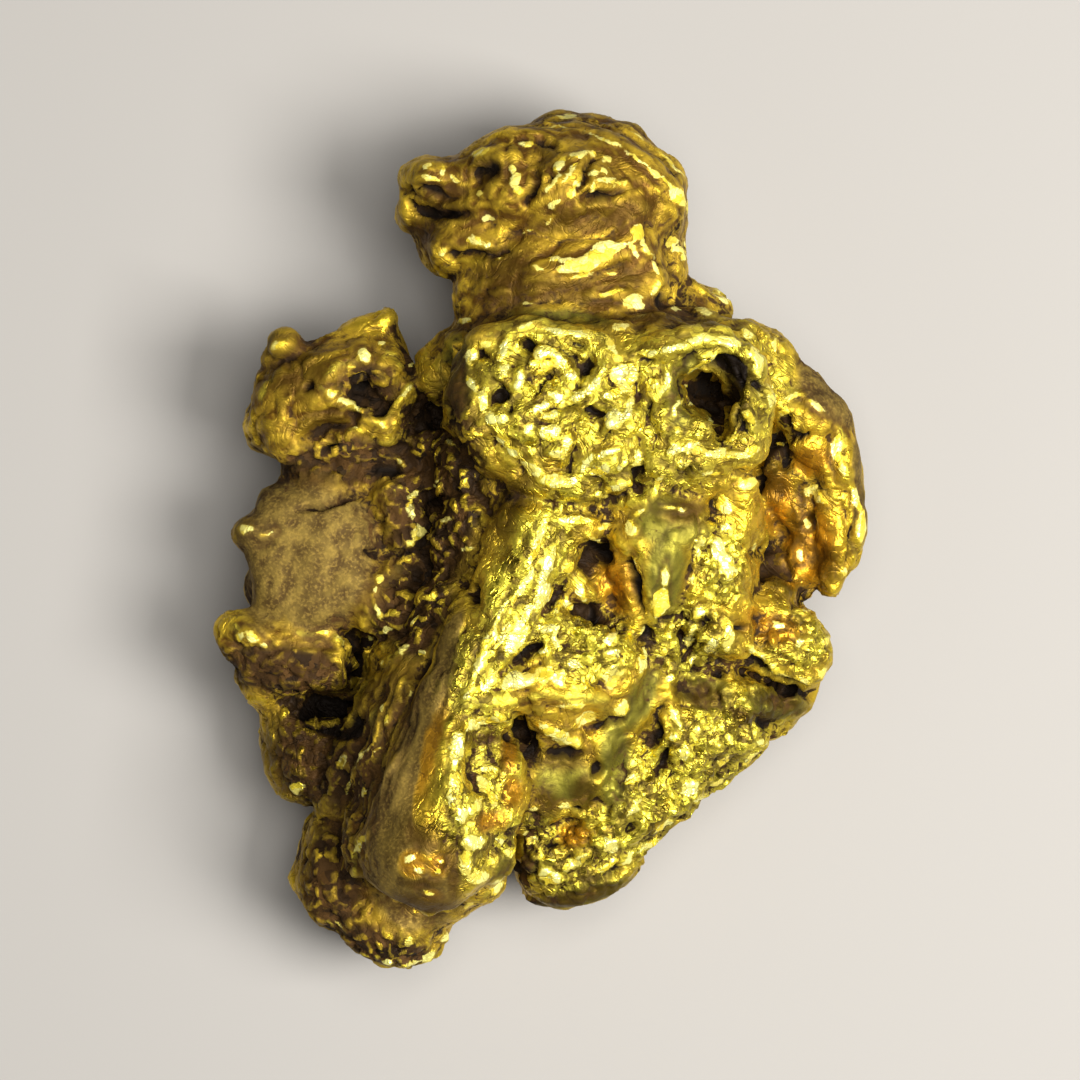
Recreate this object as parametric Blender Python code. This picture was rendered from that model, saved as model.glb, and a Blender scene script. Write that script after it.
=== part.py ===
"""A natural gold nugget, about 30 mm long, lying on its worn back.

Run it with: blender --background --python part.py

The nugget is one grown piece of metal, so it is one solid. It is built the way it reads in the
hand: rounded lumps and ribs are set against each other and fused into one skin, the deep pits
are cut out of it, and the skin is then given the gentle hammering of a river-worn surface.

Axes: X across the nugget, Y towards its small end (the "head"), Z up from the face it rests on.
The origin is under the middle of the nugget, on the surface that it lies on.
Places and radii below are in millimetres, and MM turns them into Blender's metres.
"""

import functools
import math

import bmesh
import bpy
import numpy
from mathutils import Euler, Matrix, Vector
from mathutils.bvhtree import BVHTree

MM = 0.001

LENGTH = 30.0 * MM  # along Y, from the crown of the head to the foot of the spine
RESTING_CUT = 0.35 * MM  # how much of the lowest lumps is worn away flat

FUSING_VOXEL = 0.18 * MM  # grid on which the lumps are fused into one skin
CARVED_VOXEL = 0.18 * MM  # grid on which the cut skin is evened out again
BALL_STEP = 0.25  # spacing of the balls in a rib, as a share of its radius
SINK = 0.25  # how deep a laid rib is sunk into the skin, as a share of its radius
TRIANGLES = 9600  # what the finished solid is thinned to
HAMMER_LEVEL = 0.2  # value of a hammering texture that leaves the skin where it is
UNDERSIDE_THINNING = 2.0  # how much more readily the underside is thinned than the top

GOLD = (0.83, 0.58, 0.16, 1.0)
GOLD_ROUGHNESS = 0.34


# --- building blocks -----------------------------------------------------------------------


@functools.cache
def ball(subdivisions):
    """Corners and triangles of a round ball of radius 1, as two arrays."""
    shell = bmesh.new()
    bmesh.ops.create_icosphere(shell, subdivisions=subdivisions, radius=1.0)
    corners = numpy.array([vertex.co for vertex in shell.verts])
    faces = numpy.array([[vertex.index for vertex in face.verts] for face in shell.faces])
    shell.free()
    return corners, faces


def add_lump(clay, place, radii, turn=0.0, tilt=0.0, lean=0.0, squareness=2.0, subdivisions=3):
    """Adds a rounded lump to the clay, which is a list of separate shells.

    place and radii are in millimetres. turn is about Z, tilt about the lump's own X, lean about
    its own Y, all in degrees. squareness is the power of a superellipsoid: 2 is round, 4 boxy.
    """
    corners, faces = ball(subdivisions)
    reach = (abs(corners) ** squareness).sum(axis=1, keepdims=True) ** (1.0 / squareness)
    angles = Euler((math.radians(tilt), math.radians(lean), math.radians(turn)))
    turned = (corners / reach * radii) @ numpy.array(angles.to_matrix()).T
    clay.append(((turned + place) * MM, faces))


def add_rib(clay, *stations):
    """Adds a rib through stations (x, y, z, radius) in millimetres, as balls set close together."""
    for start, end in zip(stations, stations[1:]):
        run = math.dist(start[:3], end[:3])
        balls = math.ceil(run / (BALL_STEP * min(start[3], end[3])))
        for step in range(balls + 1):
            *centre, radius = Vector(start).lerp(Vector(end), step / balls)
            add_lump(clay, centre, (radius, radius, radius), subdivisions=2)


def lay_rib(clay, skin, radius, *points):
    """Lays a rib along points (x, y) on the upper side of the skin, sunk by half its radius."""
    for start, end in zip(points, points[1:]):
        balls = math.ceil(math.dist(start, end) / (2 * BALL_STEP * radius))
        for step in range(balls + 1):
            x, y = Vector(start).lerp(Vector(end), step / balls)
            above = Vector((x * MM, y * MM, LENGTH))
            hit = skin.ray_cast(above, Vector((0, 0, -1)))[0]
            if hit:
                place = (x, y, hit.z / MM - SINK * radius)
                add_lump(clay, place, (radius, radius, radius), subdivisions=1)


# --- the lumps, region by region -------------------------------------------------------------


def core(clay):
    """The bulk of metal that every other lump grows from, and the four lumps that it lies on."""
    add_lump(clay, (1.7, 0.6, 5.6), (5.3, 6.6, 4.2), squareness=2.6)
    add_lump(clay, (0.6, -6.2, 5.0), (3.3, 4.4, 3.9), squareness=2.5)
    add_lump(clay, (-3.6, 0.8, 4.0), (2.9, 5.0, 2.5), squareness=2.6)
    add_lump(clay, (3.6, 4.4, 2.5), (3.9, 3.0, 2.5), turn=20, squareness=2.4)
    add_lump(clay, (3.2, -7.6, 2.3), (3.0, 2.6, 2.3), turn=35, squareness=2.4)
    add_lump(clay, (-5.4, -8.2, 2.4), (2.3, 3.0, 2.4), squareness=2.4)
    add_lump(clay, (-5.6, 1.4, 2.4), (2.6, 2.8, 2.4), turn=-15, squareness=2.4)


def shoulder(clay):
    """The broad block under the neck: a crinkled pad on the left, a pitted one on the right."""
    add_lump(clay, (2.7, 4.7, 8.2), (5.1, 2.9, 3.1), turn=-3, lean=2, squareness=4.0)
    add_lump(clay, (0.1, 4.9, 9.2), (2.8, 2.3, 2.4), turn=-22, tilt=-6, squareness=3.2)
    add_lump(clay, (5.8, 4.7, 9.2), (2.3, 2.2, 2.2), turn=12, lean=8, squareness=3.0)
    add_lump(clay, (2.9, 3.0, 9.2), (1.6, 1.2, 2.0), turn=20, squareness=2.8)
    add_lump(clay, (1.0, 2.1, 9.6), (1.3, 0.8, 1.5), turn=-10)
    add_rib(clay, (-3.0, 6.1, 6.6, 1.0), (-1.0, 7.3, 7.6, 1.1), (3.0, 7.3, 8.0, 1.1), (7.3, 6.8, 7.6, 0.9))
    add_rib(clay, (3.3, 6.1, 10.9, 0.45), (4.6, 6.5, 11.0, 0.5), (6.2, 6.8, 10.8, 0.5), (7.5, 6.1, 10.3, 0.55))
    add_rib(clay, (4.3, 2.9, 10.5, 0.45), (5.7, 2.75, 10.6, 0.45), (7.0, 3.1, 10.2, 0.45))
    add_rib(clay, (4.6, 2.2, 9.6, 0.5), (6.0, 2.1, 9.6, 0.5), (7.3, 1.9, 9.1, 0.5))


def neck(clay):
    """The waist between the shoulder and the head, with the folded ledge that crosses it."""
    add_lump(clay, (0.9, 9.0, 6.2), (3.4, 2.2, 2.9), lean=-4, squareness=2.8)
    add_lump(clay, (-1.15, 7.9, 6.2), (1.4, 1.7, 2.0), turn=20, squareness=2.6)
    add_lump(clay, (2.3, 9.8, 7.6), (1.9, 0.6, 1.5), turn=14, squareness=3.0)
    add_lump(clay, (3.1, 8.5, 7.6), (1.2, 0.7, 1.3), turn=-8, squareness=2.6)
    add_lump(clay, (4.1, 9.2, 7.3), (0.5, 0.8, 1.5), turn=15)
    add_lump(clay, (5.2, 8.1, 4.9), (1.2, 1.0, 1.9), turn=-15, squareness=2.6)
    add_lump(clay, (6.25, 8.4, 4.7), (0.8, 0.42, 1.0), turn=-38, squareness=3.0)


def head(clay):
    """The small end: a round skull, a blunt snout split by a mouth, and a jaw under it."""
    add_lump(clay, (1.8, 11.9, 6.5), (3.0, 2.4, 2.9), squareness=2.4)
    add_lump(clay, (2.0, 12.6, 5.5), (2.7, 2.1, 2.2), turn=-30, squareness=2.8)
    add_lump(clay, (4.0, 11.75, 5.6), (1.2, 2.0, 2.2), turn=-8, squareness=2.8)
    add_lump(clay, (3.7, 13.2, 5.4), (0.9, 0.9, 1.2), turn=-40, squareness=2.8)
    add_lump(clay, (0.85, 14.65, 5.2), (0.85, 0.6, 1.0), squareness=2.8)
    add_lump(clay, (2.65, 14.3, 5.2), (1.1, 0.8, 1.0), turn=-20, squareness=2.8)
    add_lump(clay, (4.65, 10.0, 6.2), (0.55, 0.6, 1.3), squareness=2.6)
    add_lump(clay, (-0.8, 12.75, 6.7), (2.25, 1.65, 2.1), turn=20, tilt=6, squareness=2.8)
    add_lump(clay, (1.4, 12.3, 8.7), (1.3, 0.85, 1.1), turn=28, squareness=2.6)
    add_lump(clay, (-0.8, 12.3, 8.3), (0.55, 0.8, 0.8), turn=20)
    add_lump(clay, (1.8, 11.0, 8.2), (1.9, 0.5, 0.9), turn=8)
    add_lump(clay, (3.3, 12.6, 7.6), (1.5, 0.45, 1.2), turn=-42, squareness=2.8)
    add_lump(clay, (-3.7, 12.85, 6.8), (0.9, 0.68, 1.3), turn=14, squareness=2.6)
    add_lump(clay, (-4.3, 11.8, 5.8), (0.5, 0.35, 1.1), squareness=2.6)
    add_lump(clay, (-3.2, 11.55, 5.8), (1.35, 0.7, 1.3), turn=-38, squareness=2.8)
    add_lump(clay, (-3.4, 10.75, 5.4), (0.7, 0.6, 1.3))
    add_lump(clay, (-2.5, 10.45, 6.7), (1.1, 0.7, 1.4), turn=14, squareness=2.8)
    add_lump(clay, (-3.35, 9.85, 5.8), (0.35, 0.35, 0.9))
    add_lump(clay, (-1.3, 10.9, 6.9), (1.0, 0.9, 1.6), squareness=2.6)


def right_side(clay):
    """The right flank: a curled flange with a thin rim, and the shelf below it."""
    add_rib(
        clay,
        (7.7, 6.6, 6.8, 1.1),
        (9.05, 5.25, 6.6, 1.0),
        (10.4, 4.0, 6.3, 0.92),
        (11.0, 2.2, 6.0, 0.65),
        (11.15, 0.4, 5.8, 0.55),
        (11.0, -0.8, 5.4, 0.52),
        (10.5, -1.7, 5.0, 0.4),
    )
    add_lump(clay, (9.0, 1.8, 4.0), (1.7, 3.4, 1.6), turn=6, squareness=2.8)
    add_lump(clay, (9.8, -0.5, 4.2), (0.8, 1.0, 1.0), turn=25, squareness=2.6)
    add_lump(clay, (9.4, 2.6, 5.4), (0.75, 0.7, 0.8))
    add_lump(clay, (9.6, 1.5, 5.3), (0.5, 0.6, 0.7))
    add_lump(clay, (8.6, 0.6, 5.2), (0.8, 1.4, 0.9), turn=-12)
    add_lump(clay, (7.0, 0.9, 7.2), (1.1, 1.3, 2.2), squareness=2.6)
    add_lump(clay, (6.2, -0.7, 7.7), (1.3, 1.8, 1.9), turn=8, squareness=2.8)
    add_lump(clay, (8.1, -1.4, 5.0), (1.2, 1.2, 2.0), squareness=2.8)
    add_lump(clay, (8.6, -3.5, 6.1), (1.9, 1.0, 1.1), turn=-20, lean=6, squareness=3.0)
    add_lump(clay, (6.1, -2.9, 7.2), (1.5, 1.2, 1.8), turn=-20, squareness=2.6)
    add_lump(clay, (7.6, -5.6, 4.4), (1.7, 1.3, 1.9), turn=12, squareness=2.6)
    add_lump(clay, (9.15, -5.3, 4.2), (0.9, 0.95, 1.5), turn=-25, squareness=2.6)
    add_lump(clay, (8.55, -6.5, 4.0), (0.6, 0.55, 1.1))
    add_lump(clay, (9.05, -2.5, 4.6), (0.75, 0.5, 1.3))


def lower_slope(clay):
    """The long straight-edged face at the lower right, and the lobe that it ends in."""
    add_lump(clay, (4.2, -7.3, 5.0), (4.8, 2.5, 2.4), turn=43, tilt=-22, squareness=3.6)
    add_lump(clay, (1.5, -11.25, 4.1), (2.15, 1.85, 2.4), turn=22, squareness=2.6)
    add_lump(clay, (2.9, -5.9, 7.2), (0.9, 2.9, 1.5), turn=-35, squareness=2.6)
    add_lump(clay, (4.9, -5.2, 6.9), (1.3, 1.0, 1.3), turn=30)
    add_lump(clay, (5.9, -6.7, 6.3), (1.0, 0.6, 0.9), turn=30)
    add_lump(clay, (5.0, -8.3, 6.2), (0.7, 0.9, 0.8), turn=35)
    add_lump(clay, (3.3, -9.3, 6.4), (0.7, 0.9, 0.7), turn=-20)
    add_lump(clay, (2.2, -10.6, 5.9), (0.9, 0.5, 0.8), turn=35)
    add_lump(clay, (0.3, -11.2, 5.9), (0.6, 0.8, 0.9), turn=-15)
    add_lump(clay, (7.6, -7.35, 5.2), (0.9, 0.5, 1.1), turn=40)


def middle(clay):
    """The bright middle: a tongue that points down, and an arch across the valley under it."""
    add_rib(clay, (4.5, 0.6, 9.4, 1.1), (4.25, -1.1, 9.6, 0.8), (4.1, -2.3, 9.4, 0.5))
    add_lump(clay, (4.4, 0.5, 9.5), (1.45, 1.1, 1.0), squareness=4.0)
    add_lump(clay, (1.3, -3.8, 8.9), (1.8, 1.2, 1.5), turn=-15, squareness=2.8)
    add_lump(clay, (2.7, -4.6, 8.3), (1.0, 0.9, 1.4), squareness=2.6)
    add_lump(clay, (0.9, 0.2, 9.2), (1.5, 1.1, 1.4), turn=-10, squareness=2.6)
    add_rib(clay, (-2.2, -5.3, 10.4, 0.6), (0.1, -5.2, 10.2, 0.55), (2.4, -5.3, 9.4, 0.6))
    add_rib(clay, (-0.1, -6.1, 9.7, 0.45), (1.3, -6.8, 9.2, 0.38))
    add_lump(clay, (0.9, -5.8, 8.8), (1.2, 0.7, 0.9))


def spine(clay):
    """The thick finger that runs from the shoulder down to the left, and stands highest."""
    add_rib(
        clay,
        (0.3, 1.1, 9.3, 1.2),
        (-1.1, -2.4, 9.5, 1.3),
        (-2.5, -5.6, 9.5, 1.5),
        (-3.2, -8.4, 9.5, 1.8),
        (-3.7, -10.8, 9.4, 2.2),
    )
    add_rib(clay, (-1.9, -1.5, 7.6, 1.2), (-3.8, -6.0, 7.6, 1.7), (-4.6, -10.6, 7.4, 2.0))
    add_lump(clay, (-3.8, -9.4, 5.6), (2.4, 3.6, 3.6), squareness=2.4)
    add_lump(clay, (-1.8, -8.4, 8.3), (1.2, 2.6, 1.9), turn=-6, squareness=3.0)
    add_lump(clay, (-1.7, -11.2, 8.0), (0.9, 0.9, 1.8))
    add_lump(clay, (-2.4, -12.1, 5.2), (1.25, 1.0, 2.2), turn=35)
    add_lump(clay, (-3.3, -13.0, 4.6), (0.9, 0.95, 2.0))
    add_lump(clay, (-5.2, -13.5, 4.0), (1.9, 1.8, 2.4), turn=-18, squareness=2.3)


def lower_left(clay):
    """Behind the spine: a streaked rib, a hollow back lobe and the foot."""
    add_rib(clay, (-4.3, -4.4, 6.3, 1.3), (-5.5, -7.2, 5.9, 1.3), (-6.5, -9.7, 5.0, 1.1))
    add_lump(clay, (-6.85, -12.0, 3.9), (1.4, 2.0, 2.4), turn=-5, squareness=2.8)
    add_lump(clay, (-8.3, -12.35, 3.9), (0.42, 0.42, 0.5))
    add_lump(clay, (-7.8, -7.8, 3.2), (1.9, 1.8, 2.2), turn=10, squareness=2.6)
    add_lump(clay, (-6.6, -5.4, 2.6), (2.7, 2.2, 1.7), squareness=2.8)
    add_lump(clay, (-9.0, -6.7, 3.2), (0.6, 0.9, 1.6), squareness=2.6)


def left_wing(clay):
    """The wing on the left: a ledge, a smooth plate above it and a blocky upper lobe."""
    add_lump(clay, (-8.6, -4.1, 5.1), (2.3, 1.0, 1.7), turn=-12, tilt=14, squareness=3.0)
    add_lump(clay, (-9.55, -4.95, 4.1), (1.0, 1.0, 1.3), turn=-40, squareness=2.6)
    add_lump(clay, (-10.4, -3.6, 5.7), (1.05, 0.75, 1.0), turn=10, squareness=2.6)
    add_lump(clay, (-7.8, -0.7, 4.9), (2.2, 2.45, 2.0), turn=3, lean=-9, squareness=4.0)
    add_lump(clay, (-9.85, 0.15, 5.3), (0.8, 0.65, 0.9))
    add_lump(clay, (-9.7, -1.7, 4.6), (0.65, 0.9, 1.0))
    add_lump(clay, (-7.0, 2.3, 4.5), (1.8, 1.2, 1.8), squareness=2.8)
    add_lump(clay, (-7.2, 5.0, 5.3), (2.7, 1.75, 2.0), turn=16, lean=-5, squareness=4.0)
    add_lump(clay, (-9.6, 4.15, 4.8), (0.75, 0.75, 1.2), squareness=2.6)
    add_lump(clay, (-8.75, 6.4, 5.9), (0.8, 0.7, 0.9))
    add_lump(clay, (-6.0, 7.0, 5.3), (0.72, 0.72, 1.1), turn=15, squareness=4.0)
    add_lump(clay, (-7.2, 6.55, 5.1), (1.5, 0.55, 1.4), turn=18, squareness=3.4)
    add_lump(clay, (-6.0, 5.6, 6.6), (1.1, 0.9, 0.9), turn=30, squareness=2.6)
    add_rib(clay, (-6.9, 3.2, 6.0, 0.5), (-5.6, 3.8, 6.2, 0.55), (-4.4, 4.9, 6.0, 0.5))
    add_lump(clay, (-4.9, 0.4, 6.0), (0.5, 1.2, 1.0), turn=15, squareness=2.6)
    add_lump(clay, (-3.4, 3.1, 5.9), (0.9, 0.7, 0.8))
    add_lump(clay, (-4.9, -2.6, 6.1), (1.2, 1.0, 1.0), turn=-25, squareness=2.8)


def ridges(clay, skin):
    """The raised seams of the upper side, laid on the fused skin: rims, folds and ledges."""
    # head: brow, wrinkled knot, the banded shell at its back, snout and jaw
    lay_rib(clay, skin, 0.34, (-1.1, 14.0), (-0.85, 13.2), (-0.9, 12.5), (-0.6, 11.9))
    lay_rib(clay, skin, 0.36, (0.1, 11.9), (0.6, 12.7), (1.3, 13.2), (2.1, 13.0), (2.8, 12.3))
    lay_rib(clay, skin, 0.28, (1.7, 12.2), (2.6, 12.5), (3.1, 11.9))
    lay_rib(clay, skin, 0.39, (0.2, 14.5), (1.6, 14.4), (2.9, 13.8), (4.2, 12.7), (5.0, 11.4))
    lay_rib(clay, skin, 0.31, (-2.5, 13.0), (-1.8, 13.3), (-1.3, 13.1))
    lay_rib(clay, skin, 0.34, (-4.1, 12.5), (-3.6, 13.0), (-3.2, 12.6))
    lay_rib(clay, skin, 0.34, (-3.2, 10.1), (-3.0, 10.8), (-2.3, 11.0), (-1.6, 10.6), (-1.3, 9.9))
    lay_rib(clay, skin, 0.31, (-3.9, 11.6), (-3.2, 11.5), (-2.5, 11.2))
    # neck: the folded ledge and the seams that sweep round it
    lay_rib(clay, skin, 0.53, (-0.2, 9.3), (1.2, 9.6), (2.3, 9.9), (3.3, 10.4))
    lay_rib(clay, skin, 0.39, (1.5, 8.4), (2.4, 8.6), (3.1, 8.3), (3.8, 8.6))
    lay_rib(clay, skin, 0.31, (3.6, 10.2), (4.1, 9.4), (4.3, 8.8))
    lay_rib(clay, skin, 0.31, (5.5, 8.8), (6.2, 8.5), (6.7, 8.2))
    lay_rib(clay, skin, 0.28, (-2.4, 9.0), (-0.8, 8.7), (0.8, 8.3))
    lay_rib(clay, skin, 0.34, (-3.0, 6.6), (-2.2, 7.3), (-0.6, 7.8), (1.2, 7.9))
    # the crinkled pad: its rim, then the coils inside it
    lay_rib(clay, skin, 0.48, (-0.1, 2.1), (-1.1, 2.9), (-1.9, 3.9), (-2.1, 4.8), (-2.5, 5.8), (-2.2, 6.6))
    lay_rib(clay, skin, 0.48, (-2.2, 6.6), (-1.2, 6.9), (0.1, 7.1), (1.5, 6.8), (2.4, 6.4), (2.5, 5.9))
    lay_rib(clay, skin, 0.34, (-0.9, 6.5), (-1.2, 5.8), (-0.8, 5.2), (-1.0, 4.6))
    lay_rib(clay, skin, 0.39, (-0.3, 6.0), (0.4, 6.4), (1.0, 6.0), (1.2, 5.4), (0.5, 5.1))
    lay_rib(clay, skin, 0.34, (1.2, 4.6), (1.9, 4.9), (2.2, 5.6))
    lay_rib(clay, skin, 0.34, (-1.6, 4.1), (-0.9, 4.0), (0.2, 4.3), (1.2, 4.1))
    lay_rib(clay, skin, 0.39, (2.3, 5.0), (2.9, 4.7), (3.0, 3.9), (2.3, 3.4))
    lay_rib(clay, skin, 0.34, (0.2, 3.6), (0.9, 3.5), (1.1, 3.0), (0.4, 2.8))
    lay_rib(clay, skin, 0.36, (1.5, 1.8), (1.5, 2.5), (2.2, 2.9), (3.0, 2.9), (3.1, 2.2))
    lay_rib(clay, skin, 0.42, (-0.1, 2.0), (1.1, 1.9), (2.4, 1.4), (3.4, 1.2), (5.2, 1.4))
    lay_rib(clay, skin, 0.31, (3.6, 6.0), (3.8, 5.2), (3.6, 4.4), (3.3, 3.5))
    lay_rib(clay, skin, 0.31, (4.3, 5.7), (4.5, 5.0), (4.3, 4.2))
    # the pitted pad: the brow over its pit, and the lips below it
    lay_rib(clay, skin, 0.45, (3.3, 6.2), (4.4, 6.4), (5.2, 6.8), (6.4, 6.8), (7.2, 6.3), (7.5, 5.3))
    lay_rib(clay, skin, 0.36, (4.9, 4.3), (5.4, 4.0), (5.9, 3.9))
    lay_rib(clay, skin, 0.36, (6.8, 4.7), (7.3, 4.2), (7.6, 3.5))
    lay_rib(clay, skin, 0.48, (4.1, 2.8), (5.2, 3.0), (6.4, 2.7), (7.4, 3.0))
    lay_rib(clay, skin, 0.36, (5.0, 2.2), (6.3, 2.2), (7.4, 1.8))
    # flange and shelf
    lay_rib(clay, skin, 0.34, (8.2, 5.0), (9.1, 4.8), (9.8, 4.0), (10.0, 2.9))
    lay_rib(clay, skin, 0.31, (7.9, 3.4), (8.6, 3.1), (9.0, 2.3))
    lay_rib(clay, skin, 0.31, (8.1, 0.2), (8.7, -0.5), (9.1, -1.1), (10.1, -1.6))
    lay_rib(clay, skin, 0.36, (5.4, 0.8), (6.0, -0.1), (6.1, -1.2), (5.2, -2.1))
    lay_rib(clay, skin, 0.36, (7.2, -3.8), (7.9, -4.5), (8.8, -4.9), (9.8, -4.7))
    lay_rib(clay, skin, 0.34, (7.1, -2.3), (8.2, -2.6), (9.3, -2.5), (9.9, -3.2))
    # the middle: the chip under the arch, the lips of its pits and the crescent beside them
    lay_rib(clay, skin, 0.36, (0.7, 0.5), (1.8, 0.4), (2.8, 0.5), (3.1, 0.0))
    lay_rib(clay, skin, 0.36, (0.3, -0.6), (1.1, -1.0), (1.6, -1.9))
    lay_rib(clay, skin, 0.36, (0.9, -2.0), (0.9, -2.9), (1.8, -3.2))
    lay_rib(clay, skin, 0.39, (-1.1, -4.2), (-0.1, -3.1), (0.5, -3.1), (0.7, -4.0), (0.5, -4.7))
    lay_rib(clay, skin, 0.31, (1.9, -3.7), (2.5, -3.9), (3.1, -4.4), (2.9, -5.2))
    lay_rib(clay, skin, 0.31, (5.0, -2.8), (4.8, -3.9), (5.1, -4.6))
    lay_rib(clay, skin, 0.34, (3.3, -4.0), (3.5, -5.0), (2.6, -6.2), (2.4, -7.6), (2.6, -9.2))
    lay_rib(clay, skin, 0.31, (4.2, -5.6), (4.5, -6.6), (4.9, -7.4))
    lay_rib(clay, skin, 0.34, (4.3, -4.9), (5.4, -4.9), (5.9, -5.6), (6.9, -5.7))
    # spine: the long seams along its crest, and the cup with its raised lip
    lay_rib(clay, skin, 0.39, (0.1, 1.0), (-0.4, -0.6), (-1.2, -2.4), (-2.0, -4.2), (-2.5, -5.3))
    lay_rib(clay, skin, 0.34, (0.6, 0.6), (0.2, -1.2), (-0.5, -2.8), (-1.2, -4.0))
    lay_rib(clay, skin, 0.48, (-3.0, -8.9), (-2.9, -7.0), (-2.6, -6.2), (-1.8, -5.8), (-1.1, -6.0))
    lay_rib(clay, skin, 0.48, (-3.0, -8.9), (-2.4, -10.2), (-2.3, -11.3))
    lay_rib(clay, skin, 0.39, (-0.7, -7.4), (-0.7, -8.8), (-1.3, -9.8))
    lay_rib(clay, skin, 0.36, (-1.8, -7.5), (-1.8, -8.6))
    lay_rib(clay, skin, 0.34, (-5.7, -9.4), (-6.2, -10.4), (-6.2, -11.8), (-5.9, -12.9))
    # left wing: the edge of the plate, the lips of the lobe above it, the ledge under it
    lay_rib(clay, skin, 0.34, (-9.0, 1.9), (-7.4, 2.0), (-6.2, 1.6), (-5.2, 1.3))
    lay_rib(clay, skin, 0.39, (-10.3, -3.4), (-9.4, -3.4), (-8.4, -3.1), (-7.4, -3.2), (-6.6, -3.4))
    lay_rib(clay, skin, 0.30, (-7.5, 5.6), (-6.7, 6.2), (-6.0, 6.4), (-5.5, 6.2), (-5.0, 5.6))
    lay_rib(clay, skin, 0.36, (-7.6, 4.9), (-7.0, 4.8), (-6.3, 4.4))
    lay_rib(clay, skin, 0.36, (-5.9, 4.5), (-5.2, 4.9), (-4.6, 5.3))
    lay_rib(clay, skin, 0.39, (-5.1, 1.6), (-4.4, 1.2), (-4.3, 0.1), (-5.2, -1.2), (-5.8, -2.1))
    lay_rib(clay, skin, 0.34, (-3.9, 3.3), (-2.9, 3.1), (-2.4, 2.3), (-2.3, 1.0))
    lay_rib(clay, skin, 0.34, (-3.3, 0.8), (-3.0, -0.4), (-3.8, -1.2), (-3.3, -2.4))
    lay_rib(clay, skin, 0.34, (-6.2, -3.2), (-5.4, -2.7), (-4.6, -3.3), (-3.9, -2.7))
    # lower left: the streaks of the rib behind the spine, and the wall of the hollow
    lay_rib(clay, skin, 0.34, (-5.2, -5.0), (-5.9, -6.6), (-6.7, -8.2), (-7.2, -9.6), (-7.9, -10.4))
    lay_rib(clay, skin, 0.31, (-4.4, -5.2), (-5.1, -6.8), (-5.9, -8.4), (-6.8, -9.6))
    lay_rib(clay, skin, 0.31, (-9.2, -6.6), (-8.9, -7.6), (-8.3, -8.6), (-7.4, -8.9))
    lay_rib(clay, skin, 0.31, (-7.9, -10.9), (-7.9, -12.0), (-7.2, -13.1), (-6.2, -13.7))
    # lower right: the grains and folds of the long face
    lay_rib(clay, skin, 0.31, (0.0, -10.9), (0.5, -11.7), (1.2, -11.2), (1.9, -10.8))
    lay_rib(clay, skin, 0.31, (-0.9, -10.5), (-0.2, -9.9), (0.3, -10.2))
    lay_rib(clay, skin, 0.31, (2.0, -11.6), (2.9, -11.1), (3.6, -10.2), (4.6, -9.4))
    lay_rib(clay, skin, 0.31, (5.1, -8.3), (6.0, -7.7), (6.3, -7.4), (7.4, -7.2))
    lay_rib(clay, skin, 0.31, (3.1, -8.0), (3.4, -9.0), (3.0, -9.9))


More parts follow.
